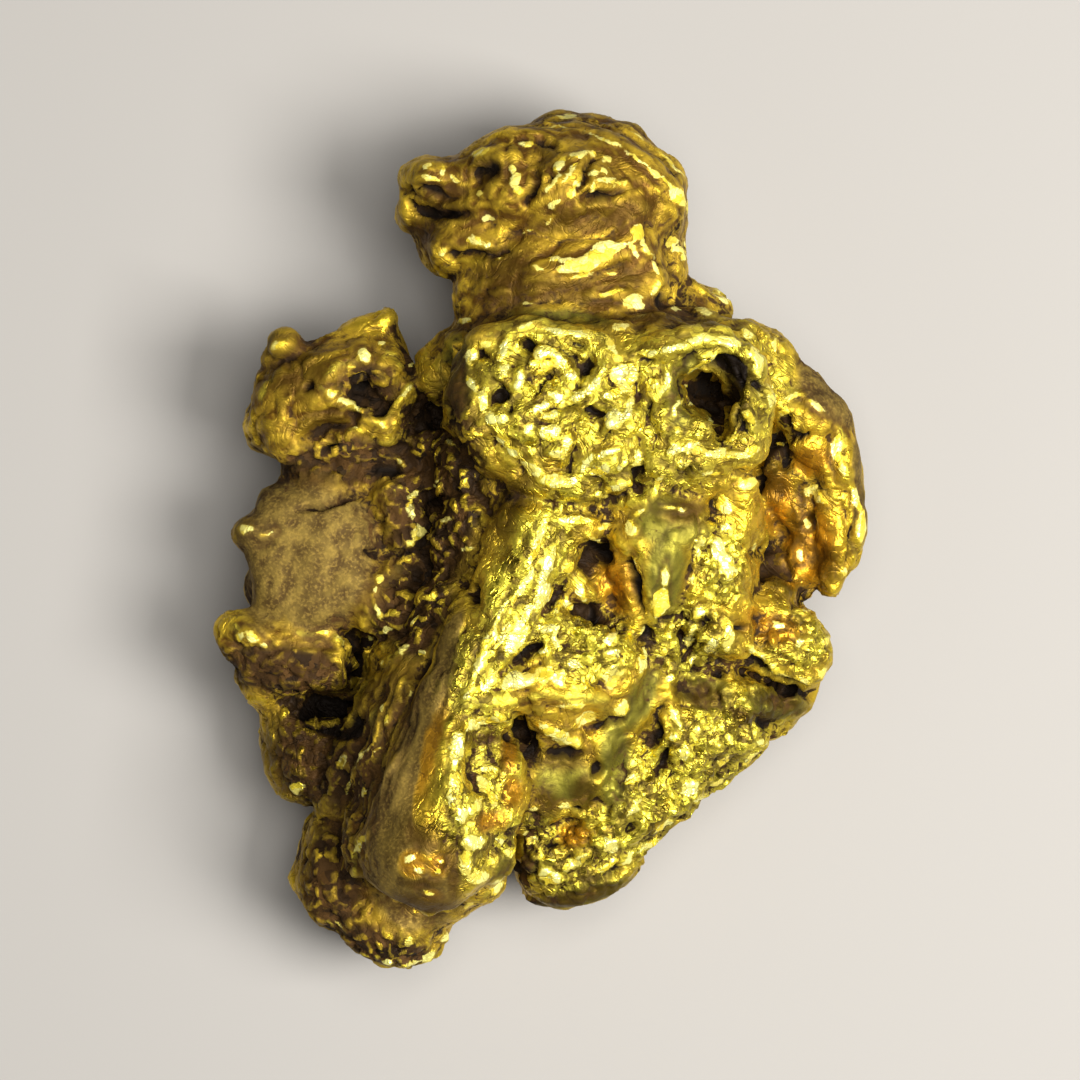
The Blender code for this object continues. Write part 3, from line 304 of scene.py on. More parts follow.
SEAMS = (
    # head: brow, knot, shell bands, snout, jaw
    (0.32, 0.22, ((-1.1, 14.1), (-0.9, 13.2), (-0.95, 12.5), (-0.6, 11.9))),
    (0.3, 0.2, ((-0.95, 12.6), (-0.5, 12.4), (-0.6, 11.9))),
    (0.34, 0.24, ((0.1, 11.9), (0.5, 12.6), (1.0, 13.1), (1.6, 13.2))),
    (0.3, 0.2, ((1.9, 13.1), (2.3, 12.8), (2.9, 12.3), (2.8, 12.0))),
    (0.22, 0.18, ((0.9, 11.9), (1.1, 12.4), (1.5, 12.8))),
    (0.22, 0.18, ((1.7, 12.1), (1.9, 12.6), (2.3, 12.5))),
    (0.22, 0.18, ((1.2, 11.6), (1.5, 12.0), (2.4, 12.0), (3.0, 12.2))),
    (0.3, 0.18, ((0.3, 14.6), (1.4, 14.4), (2.4, 14.0), (3.4, 13.2), (4.4, 12.3), (4.9, 11.5))),
    (0.26, 0.16, ((2.2, 14.6), (3.3, 14.1), (4.2, 13.2), (5.0, 12.3))),
    (0.22, 0.14, ((2.6, 13.2), (3.5, 12.4), (4.3, 11.7))),
    (0.26, 0.18, ((-2.3, 13.1), (-1.9, 13.3), (-1.4, 13.2))),
    (0.28, 0.2, ((-4.0, 12.3), (-3.8, 12.7), (-3.4, 12.9), (-3.1, 12.6), (-3.3, 12.2))),
    (0.28, 0.2, ((-3.6, 9.8), (-3.5, 10.4), (-3.0, 10.9), (-2.3, 11.0), (-1.7, 10.6), (-1.3, 10.0))),
    (0.22, 0.16, ((-2.6, 10.4), (-2.3, 10.2), (-1.9, 9.9))),
    (0.22, 0.14, ((-4.0, 11.7), (-3.3, 11.6), (-2.6, 11.2))),
    (0.2, 0.12, ((-2.1, 11.9), (-1.7, 11.3), (-1.4, 10.8))),
    (0.34, 0.18, ((4.2, 10.6), (4.7, 10.1), (5.0, 9.8))),
    # neck: the folded ledge, the lumps under it and the seams that sweep round
    (0.42, 0.24, ((-0.2, 9.2), (0.8, 9.5), (1.8, 9.7), (2.6, 10.1), (3.3, 10.5))),
    (0.3, 0.2, ((1.0, 8.9), (1.9, 9.3), (2.9, 9.6))),
    (0.28, 0.22, ((3.3, 10.0), (3.7, 9.6), (4.0, 9.0))),
    (0.28, 0.2, ((1.6, 8.3), (2.2, 8.6), (2.9, 8.4))),
    (0.28, 0.22, ((2.9, 8.2), (3.4, 8.0), (3.9, 8.5), (4.2, 8.9))),
    (0.24, 0.18, ((5.8, 8.8), (6.3, 8.5), (6.7, 8.2))),
    (0.24, 0.14, ((-2.6, 7.5), (-2.2, 7.6))),
    (0.22, 0.12, ((-2.2, 8.9), (-0.9, 8.5), (0.4, 8.3))),
    (0.22, 0.12, ((-1.6, 9.4), (-0.6, 9.0), (0.5, 8.8))),
    (0.24, 0.14, ((-3.4, 6.6), (-2.2, 7.3), (-1.0, 7.7), (0.6, 7.9))),
    # the crinkled pad: its rim, then the coils inside it
    (0.3, 0.2, ((-0.1, 2.2), (-0.9, 2.8), (-1.6, 3.6), (-1.9, 4.3), (-1.9, 5.0))),
    (0.26, 0.2, ((-2.4, 4.9), (-2.2, 5.4), (-2.6, 5.9), (-2.4, 6.5), (-1.9, 6.5))),
    (0.28, 0.2, ((-1.2, 6.9), (-0.3, 7.2), (0.1, 7.3))),
    (0.3, 0.2, ((0.2, 6.9), (1.2, 6.9), (2.0, 6.8), (2.5, 6.4), (2.4, 5.9))),
    (0.24, 0.2, ((-1.1, 6.6), (-1.3, 6.1), (-1.7, 5.6), (-1.8, 5.2))),
    (0.22, 0.18, ((-0.8, 6.0), (-0.7, 5.4), (-1.0, 5.0), (-1.4, 5.3))),
    (0.28, 0.22, ((-0.2, 6.6), (0.3, 6.3), (0.9, 6.1), (1.1, 5.6))),
    (0.24, 0.18, ((-0.3, 5.8), (0.2, 5.6), (0.6, 5.3), (1.0, 5.2))),
    (0.22, 0.18, ((1.0, 4.8), (1.5, 5.1), (1.9, 5.6), (2.2, 6.1))),
    (0.22, 0.18, ((1.2, 4.5), (1.8, 4.6), (2.2, 5.0), (2.7, 5.1), (3.0, 4.7))),
    (0.22, 0.18, ((-1.6, 4.4), (-1.1, 4.2), (-1.2, 3.8))),
    (0.22, 0.18, ((-0.6, 4.3), (0.1, 4.4), (0.7, 4.2), (1.5, 4.1))),
    (0.22, 0.18, ((2.2, 4.6), (2.1, 4.1), (2.5, 3.7), (3.0, 3.6))),
    (0.22, 0.18, ((0.1, 3.7), (0.6, 3.8), (1.0, 3.4), (0.9, 2.9), (0.3, 2.9))),
    (0.2, 0.16, ((-0.7, 3.9), (-0.5, 3.4), (-0.8, 3.1))),
    (0.24, 0.2, ((1.5, 2.3), (1.5, 2.7), (2.0, 3.0), (2.7, 2.9))),
    (0.24, 0.2, ((1.7, 1.7), (2.3, 1.6), (2.9, 1.9), (2.7, 2.4))),
    (0.3, 0.2, ((0.0, 2.0), (0.7, 2.0), (1.4, 1.9))),
    (0.22, 0.18, ((3.2, 3.2), (3.3, 2.6), (3.5, 2.0))),
    (0.26, 0.18, ((2.4, 1.2), (3.4, 1.2), (4.4, 1.1), (5.2, 1.2), (5.6, 1.6))),
    (0.22, 0.18, ((3.3, 6.1), (3.6, 5.8), (3.8, 5.2), (3.6, 4.8))),
    (0.22, 0.18, ((4.1, 5.9), (4.3, 5.4), (4.5, 4.9), (4.3, 4.3))),
    (0.22, 0.16, ((3.9, 4.0), (4.2, 3.6), (4.9, 3.5))),
    # the pitted pad
    (0.3, 0.22, ((3.3, 6.3), (4.2, 6.2), (4.9, 6.5), (5.6, 6.7), (6.6, 6.6), (7.0, 6.2))),
    (0.26, 0.2, ((7.1, 6.9), (7.3, 6.1), (7.2, 5.5), (7.7, 4.9))),
    (0.24, 0.18, ((7.9, 6.6), (8.0, 5.9), (7.9, 5.2))),
    (0.26, 0.22, ((4.8, 4.6), (5.3, 4.3), (5.8, 4.0))),
    (0.24, 0.2, ((4.7, 5.8), (5.3, 5.9), (5.9, 6.2))),
    (0.24, 0.2, ((6.7, 4.5), (7.1, 4.2), (7.5, 4.0))),
    (0.28, 0.2, ((4.2, 2.9), (5.0, 3.0), (5.9, 2.8), (6.6, 2.8), (7.2, 3.1))),
    (0.26, 0.18, ((5.0, 2.2), (6.0, 2.3), (7.0, 2.1), (7.4, 1.8))),
    (0.22, 0.16, ((4.4, 2.4), (4.8, 2.6), (4.7, 2.1))),
    # flange and shelf
    (0.26, 0.18, ((10.1, 4.3), (10.4, 3.2), (10.5, 2.2), (10.9, 1.2), (11.1, 0.2), (11.0, -0.8))),
    (0.24, 0.16, ((8.3, 5.1), (9.0, 5.0), (9.7, 4.5), (9.9, 3.7))),
    (0.26, 0.2, ((8.1, 3.0), (8.5, 3.2), (8.3, 3.9), (8.8, 4.2))),
    (0.28, 0.2, ((9.2, 2.1), (9.7, 1.6), (10.2, 1.4))),
    (0.24, 0.16, ((7.6, 2.6), (8.3, 2.3), (9.0, 2.2))),
    (0.24, 0.16, ((8.2, 0.1), (8.7, -0.4), (9.0, -0.9), (9.5, -1.4), (10.2, -1.8))),
    (0.28, 0.18, ((5.7, 0.2), (6.1, -0.4), (6.4, -1.0), (6.1, -1.5))),
    (0.24, 0.2, ((7.1, -3.6), (7.7, -4.2), (8.2, -4.6), (8.8, -4.8), (9.5, -4.8))),
    (0.22, 0.16, ((7.0, -2.2), (7.8, -2.4), (8.8, -2.7), (9.4, -3.2), (9.9, -3.4))),
    (0.22, 0.14, ((7.2, -3.0), (8.0, -3.2), (8.7, -3.7), (9.6, -3.9))),
    # middle
    (0.24, 0.18, ((3.1, 0.5), (3.4, -0.6), (3.6, -1.6), (3.9, -2.6))),
    (0.26, 0.16, ((4.4, -0.2), (4.2, -1.3), (4.1, -2.4))),
    (0.24, 0.16, ((3.9, 0.9), (4.4, 0.6), (5.1, 0.6), (5.3, 1.3))),
    (0.26, 0.2, ((0.6, 0.5), (1.4, 0.4), (2.4, 0.4), (3.0, 0.2))),
    (0.22, 0.18, ((1.1, 0.0), (1.7, 0.1), (2.1, -0.3), (2.6, -0.1), (3.0, -0.4))),
    (0.24, 0.18, ((1.0, -1.1), (1.4, -1.5), (1.8, -1.9))),
    (0.24, 0.18, ((0.4, -0.9), (0.6, -1.5), (0.5, -2.2))),
    (0.22, 0.18, ((1.0, -2.9), (1.5, -3.2), (2.1, -3.0), (2.6, -3.3))),
    (0.22, 0.18, ((2.2, -1.6), (2.6, -1.8), (2.8, -2.4), (2.4, -2.8))),
    (0.3, 0.22, ((-1.1, -4.5), (-0.6, -4.8), (0.0, -4.7), (0.7, -4.4))),
    (0.24, 0.2, ((-0.7, -3.9), (-0.2, -3.2), (0.3, -3.0), (0.6, -3.4), (0.6, -4.0))),
    (0.34, 0.22, ((-2.5, -5.5), (-1.3, -5.4), (0.2, -5.2), (1.2, -5.3), (2.2, -5.4))),
    (0.26, 0.2, ((0.1, -6.3), (0.7, -6.7), (1.2, -6.9))),
    (0.26, 0.2, ((1.2, -6.3), (1.7, -6.0), (2.2, -5.7), (2.6, -5.8))),
    (0.22, 0.18, ((2.1, -3.8), (2.5, -3.8), (2.6, -4.1))),
    (0.22, 0.18, ((3.1, -3.8), (3.4, -4.1), (3.2, -4.8))),
    (0.22, 0.18, ((5.0, -3.2), (4.7, -3.9), (4.8, -4.5), (5.2, -4.6))),
    (0.22, 0.18, ((5.0, -2.8), (5.4, -2.5), (5.8, -2.4))),
    (0.24, 0.18, ((5.5, -3.7), (5.8, -3.5), (6.2, -3.3))),
    (0.22, 0.16, ((4.1, -5.5), (4.5, -5.9), (4.6, -6.4))),
    (0.22, 0.14, ((3.6, -4.4), (3.6, -5.2), (2.9, -6.0), (2.4, -6.8), (2.3, -7.8), (2.3, -8.8))),
    (0.22, 0.14, ((4.0, -4.6), (3.8, -5.6), (3.2, -6.4), (3.0, -7.4))),
    # spine: seams along the crest, the cup's lip
    (0.24, 0.18, ((0.0, 0.9), (-0.3, -0.2), (-0.8, -1.4), (-1.4, -2.6))),
    (0.24, 0.18, ((0.4, 0.8), (0.1, -0.4), (-0.3, -1.4), (-0.9, -2.4))),
    (0.24, 0.16, ((0.8, -0.2), (0.4, -1.4), (-0.2, -2.4))),
    (0.26, 0.18, ((-1.5, -2.9), (-1.9, -3.8), (-2.3, -4.6), (-2.6, -5.3))),
    (0.24, 0.18, ((-1.0, -2.9), (-1.3, -3.7), (-1.8, -4.8))),
    (0.3, 0.2, ((-3.1, -5.2), (-2.9, -5.7), (-3.2, -6.4))),
    (0.32, 0.24, ((-2.9, -7.2), (-2.7, -6.5), (-2.2, -6.0), (-1.6, -5.9), (-1.1, -6.1))),
    (0.34, 0.2, ((-2.9, -8.2), (-3.0, -8.9), (-2.7, -9.5))),
    (0.36, 0.2, ((-2.5, -10.1), (-2.4, -10.8), (-2.2, -11.4))),
    (0.26, 0.18, ((-1.9, -8.0), (-1.6, -8.6), (-1.4, -9.0))),
    (0.24, 0.18, ((-0.8, -7.4), (-0.8, -8.2), (-1.1, -8.9), (-1.4, -9.4))),
    (0.24, 0.16, ((-1.8, -7.6), (-1.6, -7.7))),
    (0.3, 0.18, ((-4.7, -10.5), (-4.3, -10.9))),
    (0.3, 0.18, ((-3.9, -10.7), (-3.4, -11.0))),
    (0.3, 0.16, ((-4.2, -11.8), (-3.8, -12.1))),
    (0.26, 0.16, ((-5.6, -9.6), (-6.2, -10.2), (-6.3, -10.8))),
    (0.24, 0.14, ((-6.4, -11.0), (-6.4, -12.0), (-6.2, -12.9))),
    (0.26, 0.16, ((-2.0, -12.2), (-1.6, -11.9), (-1.3, -11.7))),
    # left wing
    (0.28, 0.18, ((-10.6, -3.0), (-10.2, -3.3), (-9.6, -3.6))),
    (0.24, 0.16, ((-9.4, -3.3), (-8.4, -3.2), (-7.5, -3.2))),
    (0.24, 0.18, ((-7.5, -2.4), (-7.4, -3.1), (-6.9, -3.5))),
    (0.26, 0.18, ((-10.1, 0.2), (-9.8, 0.4), (-9.4, 0.2))),
    (0.22, 0.16, ((-7.4, 5.6), (-7.0, 6.0), (-6.3, 6.1), (-5.9, 6.5))),
    (0.24, 0.2, ((-7.6, 5.2), (-7.2, 4.9), (-6.7, 4.7), (-6.3, 4.5))),
    (0.22, 0.18, ((-5.7, 5.9), (-5.3, 6.4), (-4.9, 5.9))),
    (0.26, 0.2, ((-5.7, 4.0), (-5.1, 4.5), (-4.5, 5.3))),
    (0.24, 0.18, ((-7.0, 3.0), (-6.3, 3.1), (-5.2, 3.5), (-4.3, 4.1))),
    (0.22, 0.16, ((-6.8, 3.8), (-6.2, 3.8))),
    (0.24, 0.16, ((-9.8, 4.3), (-9.4, 5.4), (-8.9, 5.8))),
    (0.22, 0.14, ((-9.2, 6.6), (-8.7, 6.5))),
    (0.26, 0.2, ((-4.9, 1.7), (-4.4, 1.3), (-4.5, 0.6), (-4.3, 0.1))),
    (0.22, 0.18, ((-4.6, -0.6), (-5.3, -1.0), (-5.7, -1.5), (-5.9, -1.9))),
    (0.24, 0.18, ((-4.0, 3.3), (-3.3, 3.3), (-2.8, 3.1))),
    (0.22, 0.18, ((-4.0, 2.4), (-3.5, 1.9), (-3.1, 2.2))),
    (0.22, 0.18, ((-3.2, 0.9), (-3.3, 0.4), (-2.9, -0.2))),
    (0.22, 0.18, ((-4.1, -1.9), (-3.5, -2.1), (-3.3, -2.7))),
    (0.22, 0.18, ((-6.3, -3.3), (-5.8, -3.4), (-5.3, -3.1), (-4.9, -3.6))),
    (0.22, 0.18, ((-5.8, -2.2), (-5.5, -2.6), (-4.9, -2.5))),
    (0.22, 0.18, ((-5.4, -4.3), (-4.7, -3.7), (-4.1, -3.7))),
    # lower left
    (0.24, 0.18, ((-5.5, -5.6), (-5.9, -6.6), (-6.4, -7.4), (-6.6, -8.2), (-7.2, -9.4))),
    (0.2, 0.16, ((-5.1, -6.0), (-5.5, -6.9), (-6.0, -7.7), (-6.3, -8.6))),
    (0.2, 0.16, ((-4.7, -5.4), (-4.9, -6.4), (-5.4, -7.6), (-6.0, -8.8))),
    (0.2, 0.14, ((-4.4, -6.0), (-4.7, -7.0), (-5.2, -8.0))),
    (0.24, 0.18, ((-8.4, -6.2), (-8.0, -6.6), (-7.8, -6.9))),
    (0.24, 0.18, ((-7.0, -7.2), (-6.9, -7.9), (-7.3, -8.6), (-7.4, -9.4))),
    (0.24, 0.18, ((-8.9, -8.4), (-8.4, -8.8), (-7.9, -8.6))),
    (0.22, 0.16, ((-7.2, -9.8), (-7.6, -10.2), (-8.1, -10.6))),
    (0.22, 0.16, ((-7.4, -13.2), (-7.0, -13.3), (-6.7, -13.6))),
    (0.24, 0.16, ((-4.8, -13.6), (-4.4, -13.8), (-4.7, -14.2))),
    (0.24, 0.18, ((-3.6, -13.6), (-3.3, -13.9))),
    (0.22, 0.16, ((-6.2, -14.2), (-5.4, -14.6), (-4.5, -14.7))),
)

CRACKS = (
    # head
    (0.24, 0.3, ((-4.7, 12.1), (-4.0, 12.0), (-3.2, 12.0), (-2.7, 11.8))),
    (0.2, 0.24, ((-4.4, 11.4), (-3.7, 11.2), (-2.9, 11.1), (-2.4, 11.1))),
    (0.26, 0.34, ((-1.85, 12.7), (-1.75, 12.6))),
    (0.4, 0.16, ((-2.5, 12.6), (-1.9, 12.3), (-1.3, 12.6))),
    (0.24, 0.26, ((0.0, 13.7), (0.3, 13.5), (0.6, 13.2))),
    (0.24, 0.3, ((-0.5, 11.6), (-0.2, 12.0), (-0.1, 12.4))),
    (0.22, 0.3, ((1.6, 11.5), (2.0, 11.7), (2.7, 11.9))),
    (0.18, 0.24, ((1.2, 11.9), (1.4, 12.5), (1.8, 13.0))),
    (0.18, 0.2, ((0.3, 12.1), (0.7, 12.5))),
    (0.16, 0.16, ((-0.2, 14.2), (1.3, 14.1), (2.3, 13.6), (3.3, 12.7), (4.2, 11.8), (5.0, 11.2))),
    (0.16, 0.14, ((2.6, 14.2), (3.8, 13.3), (4.8, 12.2))),
    (0.2, 0.24, ((-3.1, 9.8), (-2.4, 9.8), (-1.8, 9.6), (-1.2, 9.9))),
    (0.18, 0.18, ((-1.1, 13.6), (-1.2, 12.9), (-1.3, 12.2))),
    (0.18, 0.16, ((-0.6, 10.4), (0.6, 10.1), (2.0, 10.2), (2.8, 10.8))),
    # neck
    (0.2, 0.22, ((0.6, 8.9), (1.5, 8.9), (2.3, 9.2), (2.8, 9.4))),
    (0.2, 0.2, ((1.3, 8.0), (2.4, 8.1), (2.9, 7.9))),
    (0.22, 0.26, ((4.2, 8.5), (4.5, 8.9), (4.5, 9.5))),
    (0.16, 0.12, ((-2.8, 8.3), (-1.4, 8.3), (0.2, 8.0), (1.4, 8.1))),
    (0.16, 0.12, ((-3.2, 7.2), (-1.9, 7.7), (-0.4, 8.1))),
    # pads
    (0.2, 0.26, ((-0.7, 6.4), (-0.3, 6.6))),
    (0.16, 0.22, ((0.1, 6.7), (0.7, 6.5), (1.2, 6.2))),
    (0.2, 0.26, ((1.0, 6.6), (1.3, 6.4), (1.6, 6.2))),
    (0.16, 0.2, ((-2.2, 6.1), (-1.8, 6.2), (-1.6, 5.9))),
    (0.16, 0.22, ((-1.5, 5.2), (-1.2, 5.0), (-1.1, 4.6))),
    (0.16, 0.2, ((-0.5, 6.3), (-0.5, 5.6), (-0.1, 5.0), (0.6, 4.7), (1.1, 4.6))),
    (0.16, 0.2, ((1.3, 6.0), (1.4, 5.5), (1.1, 5.0))),
    (0.16, 0.2, ((2.1, 5.5), (2.5, 5.4), (3.1, 5.3))),
    (0.16, 0.22, ((1.7, 4.3), (2.0, 3.9), (1.8, 3.5), (2.3, 3.2))),
    (0.16, 0.2, ((-0.9, 3.6), (-0.3, 3.7), (0.0, 3.3), (-0.1, 2.8))),
    (0.16, 0.2, ((1.1, 3.9), (1.3, 3.3), (1.2, 2.7), (0.9, 2.4))),
    (0.16, 0.24, ((3.5, 4.6), (3.5, 4.0), (3.8, 3.5), (3.6, 2.9))),
    (0.16, 0.22, ((3.9, 5.9), (4.1, 5.2), (4.0, 4.6))),
    (0.2, 0.26, ((3.2, 2.0), (3.3, 1.6), (2.8, 1.6))),
    (0.2, 0.26, ((4.4, 2.0), (4.9, 2.1), (5.0, 2.5))),
    (0.24, 0.26, ((6.9, 5.3), (7.3, 5.1), (7.5, 4.8))),
    (0.2, 0.24, ((6.5, 3.5), (7.0, 3.9))),
    (0.24, 0.28, ((7.3, 2.4), (7.6, 1.9), (7.4, 1.4))),
    (0.24, 0.26, ((8.2, 4.2), (8.5, 3.6), (8.9, 3.7))),
    (0.2, 0.24, ((8.3, 2.7), (8.6, 2.5))),
    (0.2, 0.22, ((9.9, 3.6), (10.0, 2.6), (10.1, 1.9))),
    (0.2, 0.22, ((10.3, 1.2), (10.6, 0.4), (10.8, -0.5))),
    (0.2, 0.2, ((9.0, 1.9), (9.0, 1.2), (9.2, 0.4))),
    # middle
    (0.26, 0.34, ((1.4, -0.2), (1.8, -0.6), (2.1, -0.7))),
    (0.2, 0.26, ((1.4, -2.6), (1.7, -2.4), (2.0, -2.7))),
    (0.2, 0.26, ((3.1, -0.9), (3.2, -1.8), (3.5, -2.8), (3.7, -3.4))),
    (0.16, 0.2, ((5.3, 0.9), (5.3, 0.0), (5.0, -0.9), (4.9, -1.9), (4.5, -2.6))),
    (0.2, 0.24, ((-1.0, -4.2), (-0.5, -3.8), (-0.1, -3.6))),
    (0.16, 0.2, ((0.4, -3.9), (0.9, -3.6), (0.9, -3.1))),
    (0.2, 0.24, ((1.9, -6.4), (2.3, -6.2), (2.7, -6.1))),
    (0.22, 0.3, ((-0.9, -6.2), (-0.6, -6.7), (-0.3, -7.4), (-0.4, -8.0))),
    (0.2, 0.22, ((0.4, -7.2), (0.9, -7.3))),
    (0.2, 0.24, ((5.2, -4.0), (5.3, -4.4))),
    (0.22, 0.26, ((5.1, -2.9), (5.5, -3.0), (5.8, -2.8))),
    (0.18, 0.2, ((6.6, -2.7), (6.9, -3.0))),
    (0.24, 0.3, ((8.2, -5.1), (8.7, -5.4), (9.0, -5.2))),
    (0.2, 0.24, ((4.1, -7.2), (4.2, -7.8), (4.4, -7.5))),
    (0.18, 0.2, ((3.8, -6.0), (4.0, -6.8))),
    (0.18, 0.22, ((3.2, -9.6), (3.0, -10.0), (2.8, -10.4))),
    (0.22, 0.24, ((2.3, -11.6), (2.8, -11.3))),
    (0.18, 0.22, ((0.1, -10.6), (0.5, -10.4))),
    (0.18, 0.2, ((0.9, -9.4), (1.2, -9.3), (1.6, -8.7))),
    (0.18, 0.2, ((0.9, -10.9), (1.4, -11.6), (1.6, -12.0))),
    # spine
    (0.14, 0.14, ((0.2, 0.7), (-0.1, -0.6), (-0.7, -1.8), (-1.3, -3.0))),
    (0.14, 0.14, ((-0.2, -1.7), (-0.9, -2.9), (-1.5, -4.2))),
    (0.22, 0.2, ((-1.9, -2.6), (-2.1, -3.0))),
    (0.2, 0.18, ((-1.9, -5.0), (-1.2, -5.0), (-0.4, -5.1))),
    (0.3, 0.2, ((-2.0, -10.2), (-1.8, -10.7))),
    (0.4, 0.14, ((-4.3, -9.8), (-3.4, -9.7), (-3.0, -10.4), (-3.0, -11.2))),
    (0.4, 0.12, ((-4.9, -12.3), (-4.0, -12.6), (-3.4, -12.4))),
    (0.18, 0.14, ((-5.6, -9.2), (-6.0, -9.8), (-6.0, -10.6))),
    # left wing and lower left
    (0.2, 0.26, ((-8.0, 1.1), (-7.3, 1.3), (-6.7, 1.5))),
    (0.16, 0.12, ((-6.1, 0.9), (-6.5, 0.2), (-6.2, -0.6))),
    (0.24, 0.26, ((-9.3, -0.1), (-9.7, -0.3))),
    (0.22, 0.24, ((-8.2, 4.2), (-7.5, 4.4), (-6.6, 4.3), (-6.0, 4.2))),
    (0.22, 0.3, ((-6.5, 5.6), (-6.1, 5.4), (-5.9, 5.1))),
    (0.2, 0.26, ((-5.8, 4.5), (-5.5, 4.9), (-5.3, 5.1))),
    (0.2, 0.22, ((-9.6, 5.9), (-9.1, 6.1), (-8.7, 6.0))),
    (0.16, 0.2, ((-8.1, 5.2), (-7.9, 5.4))),
    (0.2, 0.24, ((-7.4, 3.6), (-7.1, 3.3))),
    (0.22, 0.28, ((-7.1, 2.6), (-6.2, 2.9), (-5.2, 3.1), (-4.4, 3.4))),
    (0.24, 0.3, ((-4.2, 4.6), (-3.4, 4.4), (-3.0, 4.0))),
    (0.24, 0.3, ((-2.4, 2.0), (-2.1, 1.4), (-1.8, 0.9))),
    (0.22, 0.26, ((-4.9, -0.1), (-4.4, -0.6), (-3.8, -0.5))),
    (0.2, 0.24, ((-3.9, 1.6), (-3.7, 0.8), (-3.8, 0.2))),
    (0.22, 0.26, ((-2.6, -1.4), (-2.3, -1.9))),
    (0.22, 0.26, ((-6.9, -3.3), (-6.6, -4.0), (-6.1, -4.5))),
    (0.2, 0.24, ((-10.9, -3.5), (-10.1, -3.8), (-9.2, -3.8), (-8.2, -3.6), (-7.2, -3.7))),
    (0.16, 0.18, ((-9.6, -4.6), (-8.8, -4.3), (-8.0, -4.6))),
    (0.22, 0.24, ((-6.0, -2.9), (-5.4, -3.4))),
    (0.16, 0.18, ((-5.3, -5.0), (-5.7, -6.2), (-6.1, -7.0))),
    (0.16, 0.18, ((-4.9, -5.9), (-5.3, -7.2), (-5.8, -8.1))),
    (0.22, 0.22, ((-6.7, -9.7), (-6.7, -10.8), (-7.0, -12.2))),
    (0.2, 0.2, ((-6.4, -13.4), (-5.6, -13.7), (-5.0, -14.2))),
)
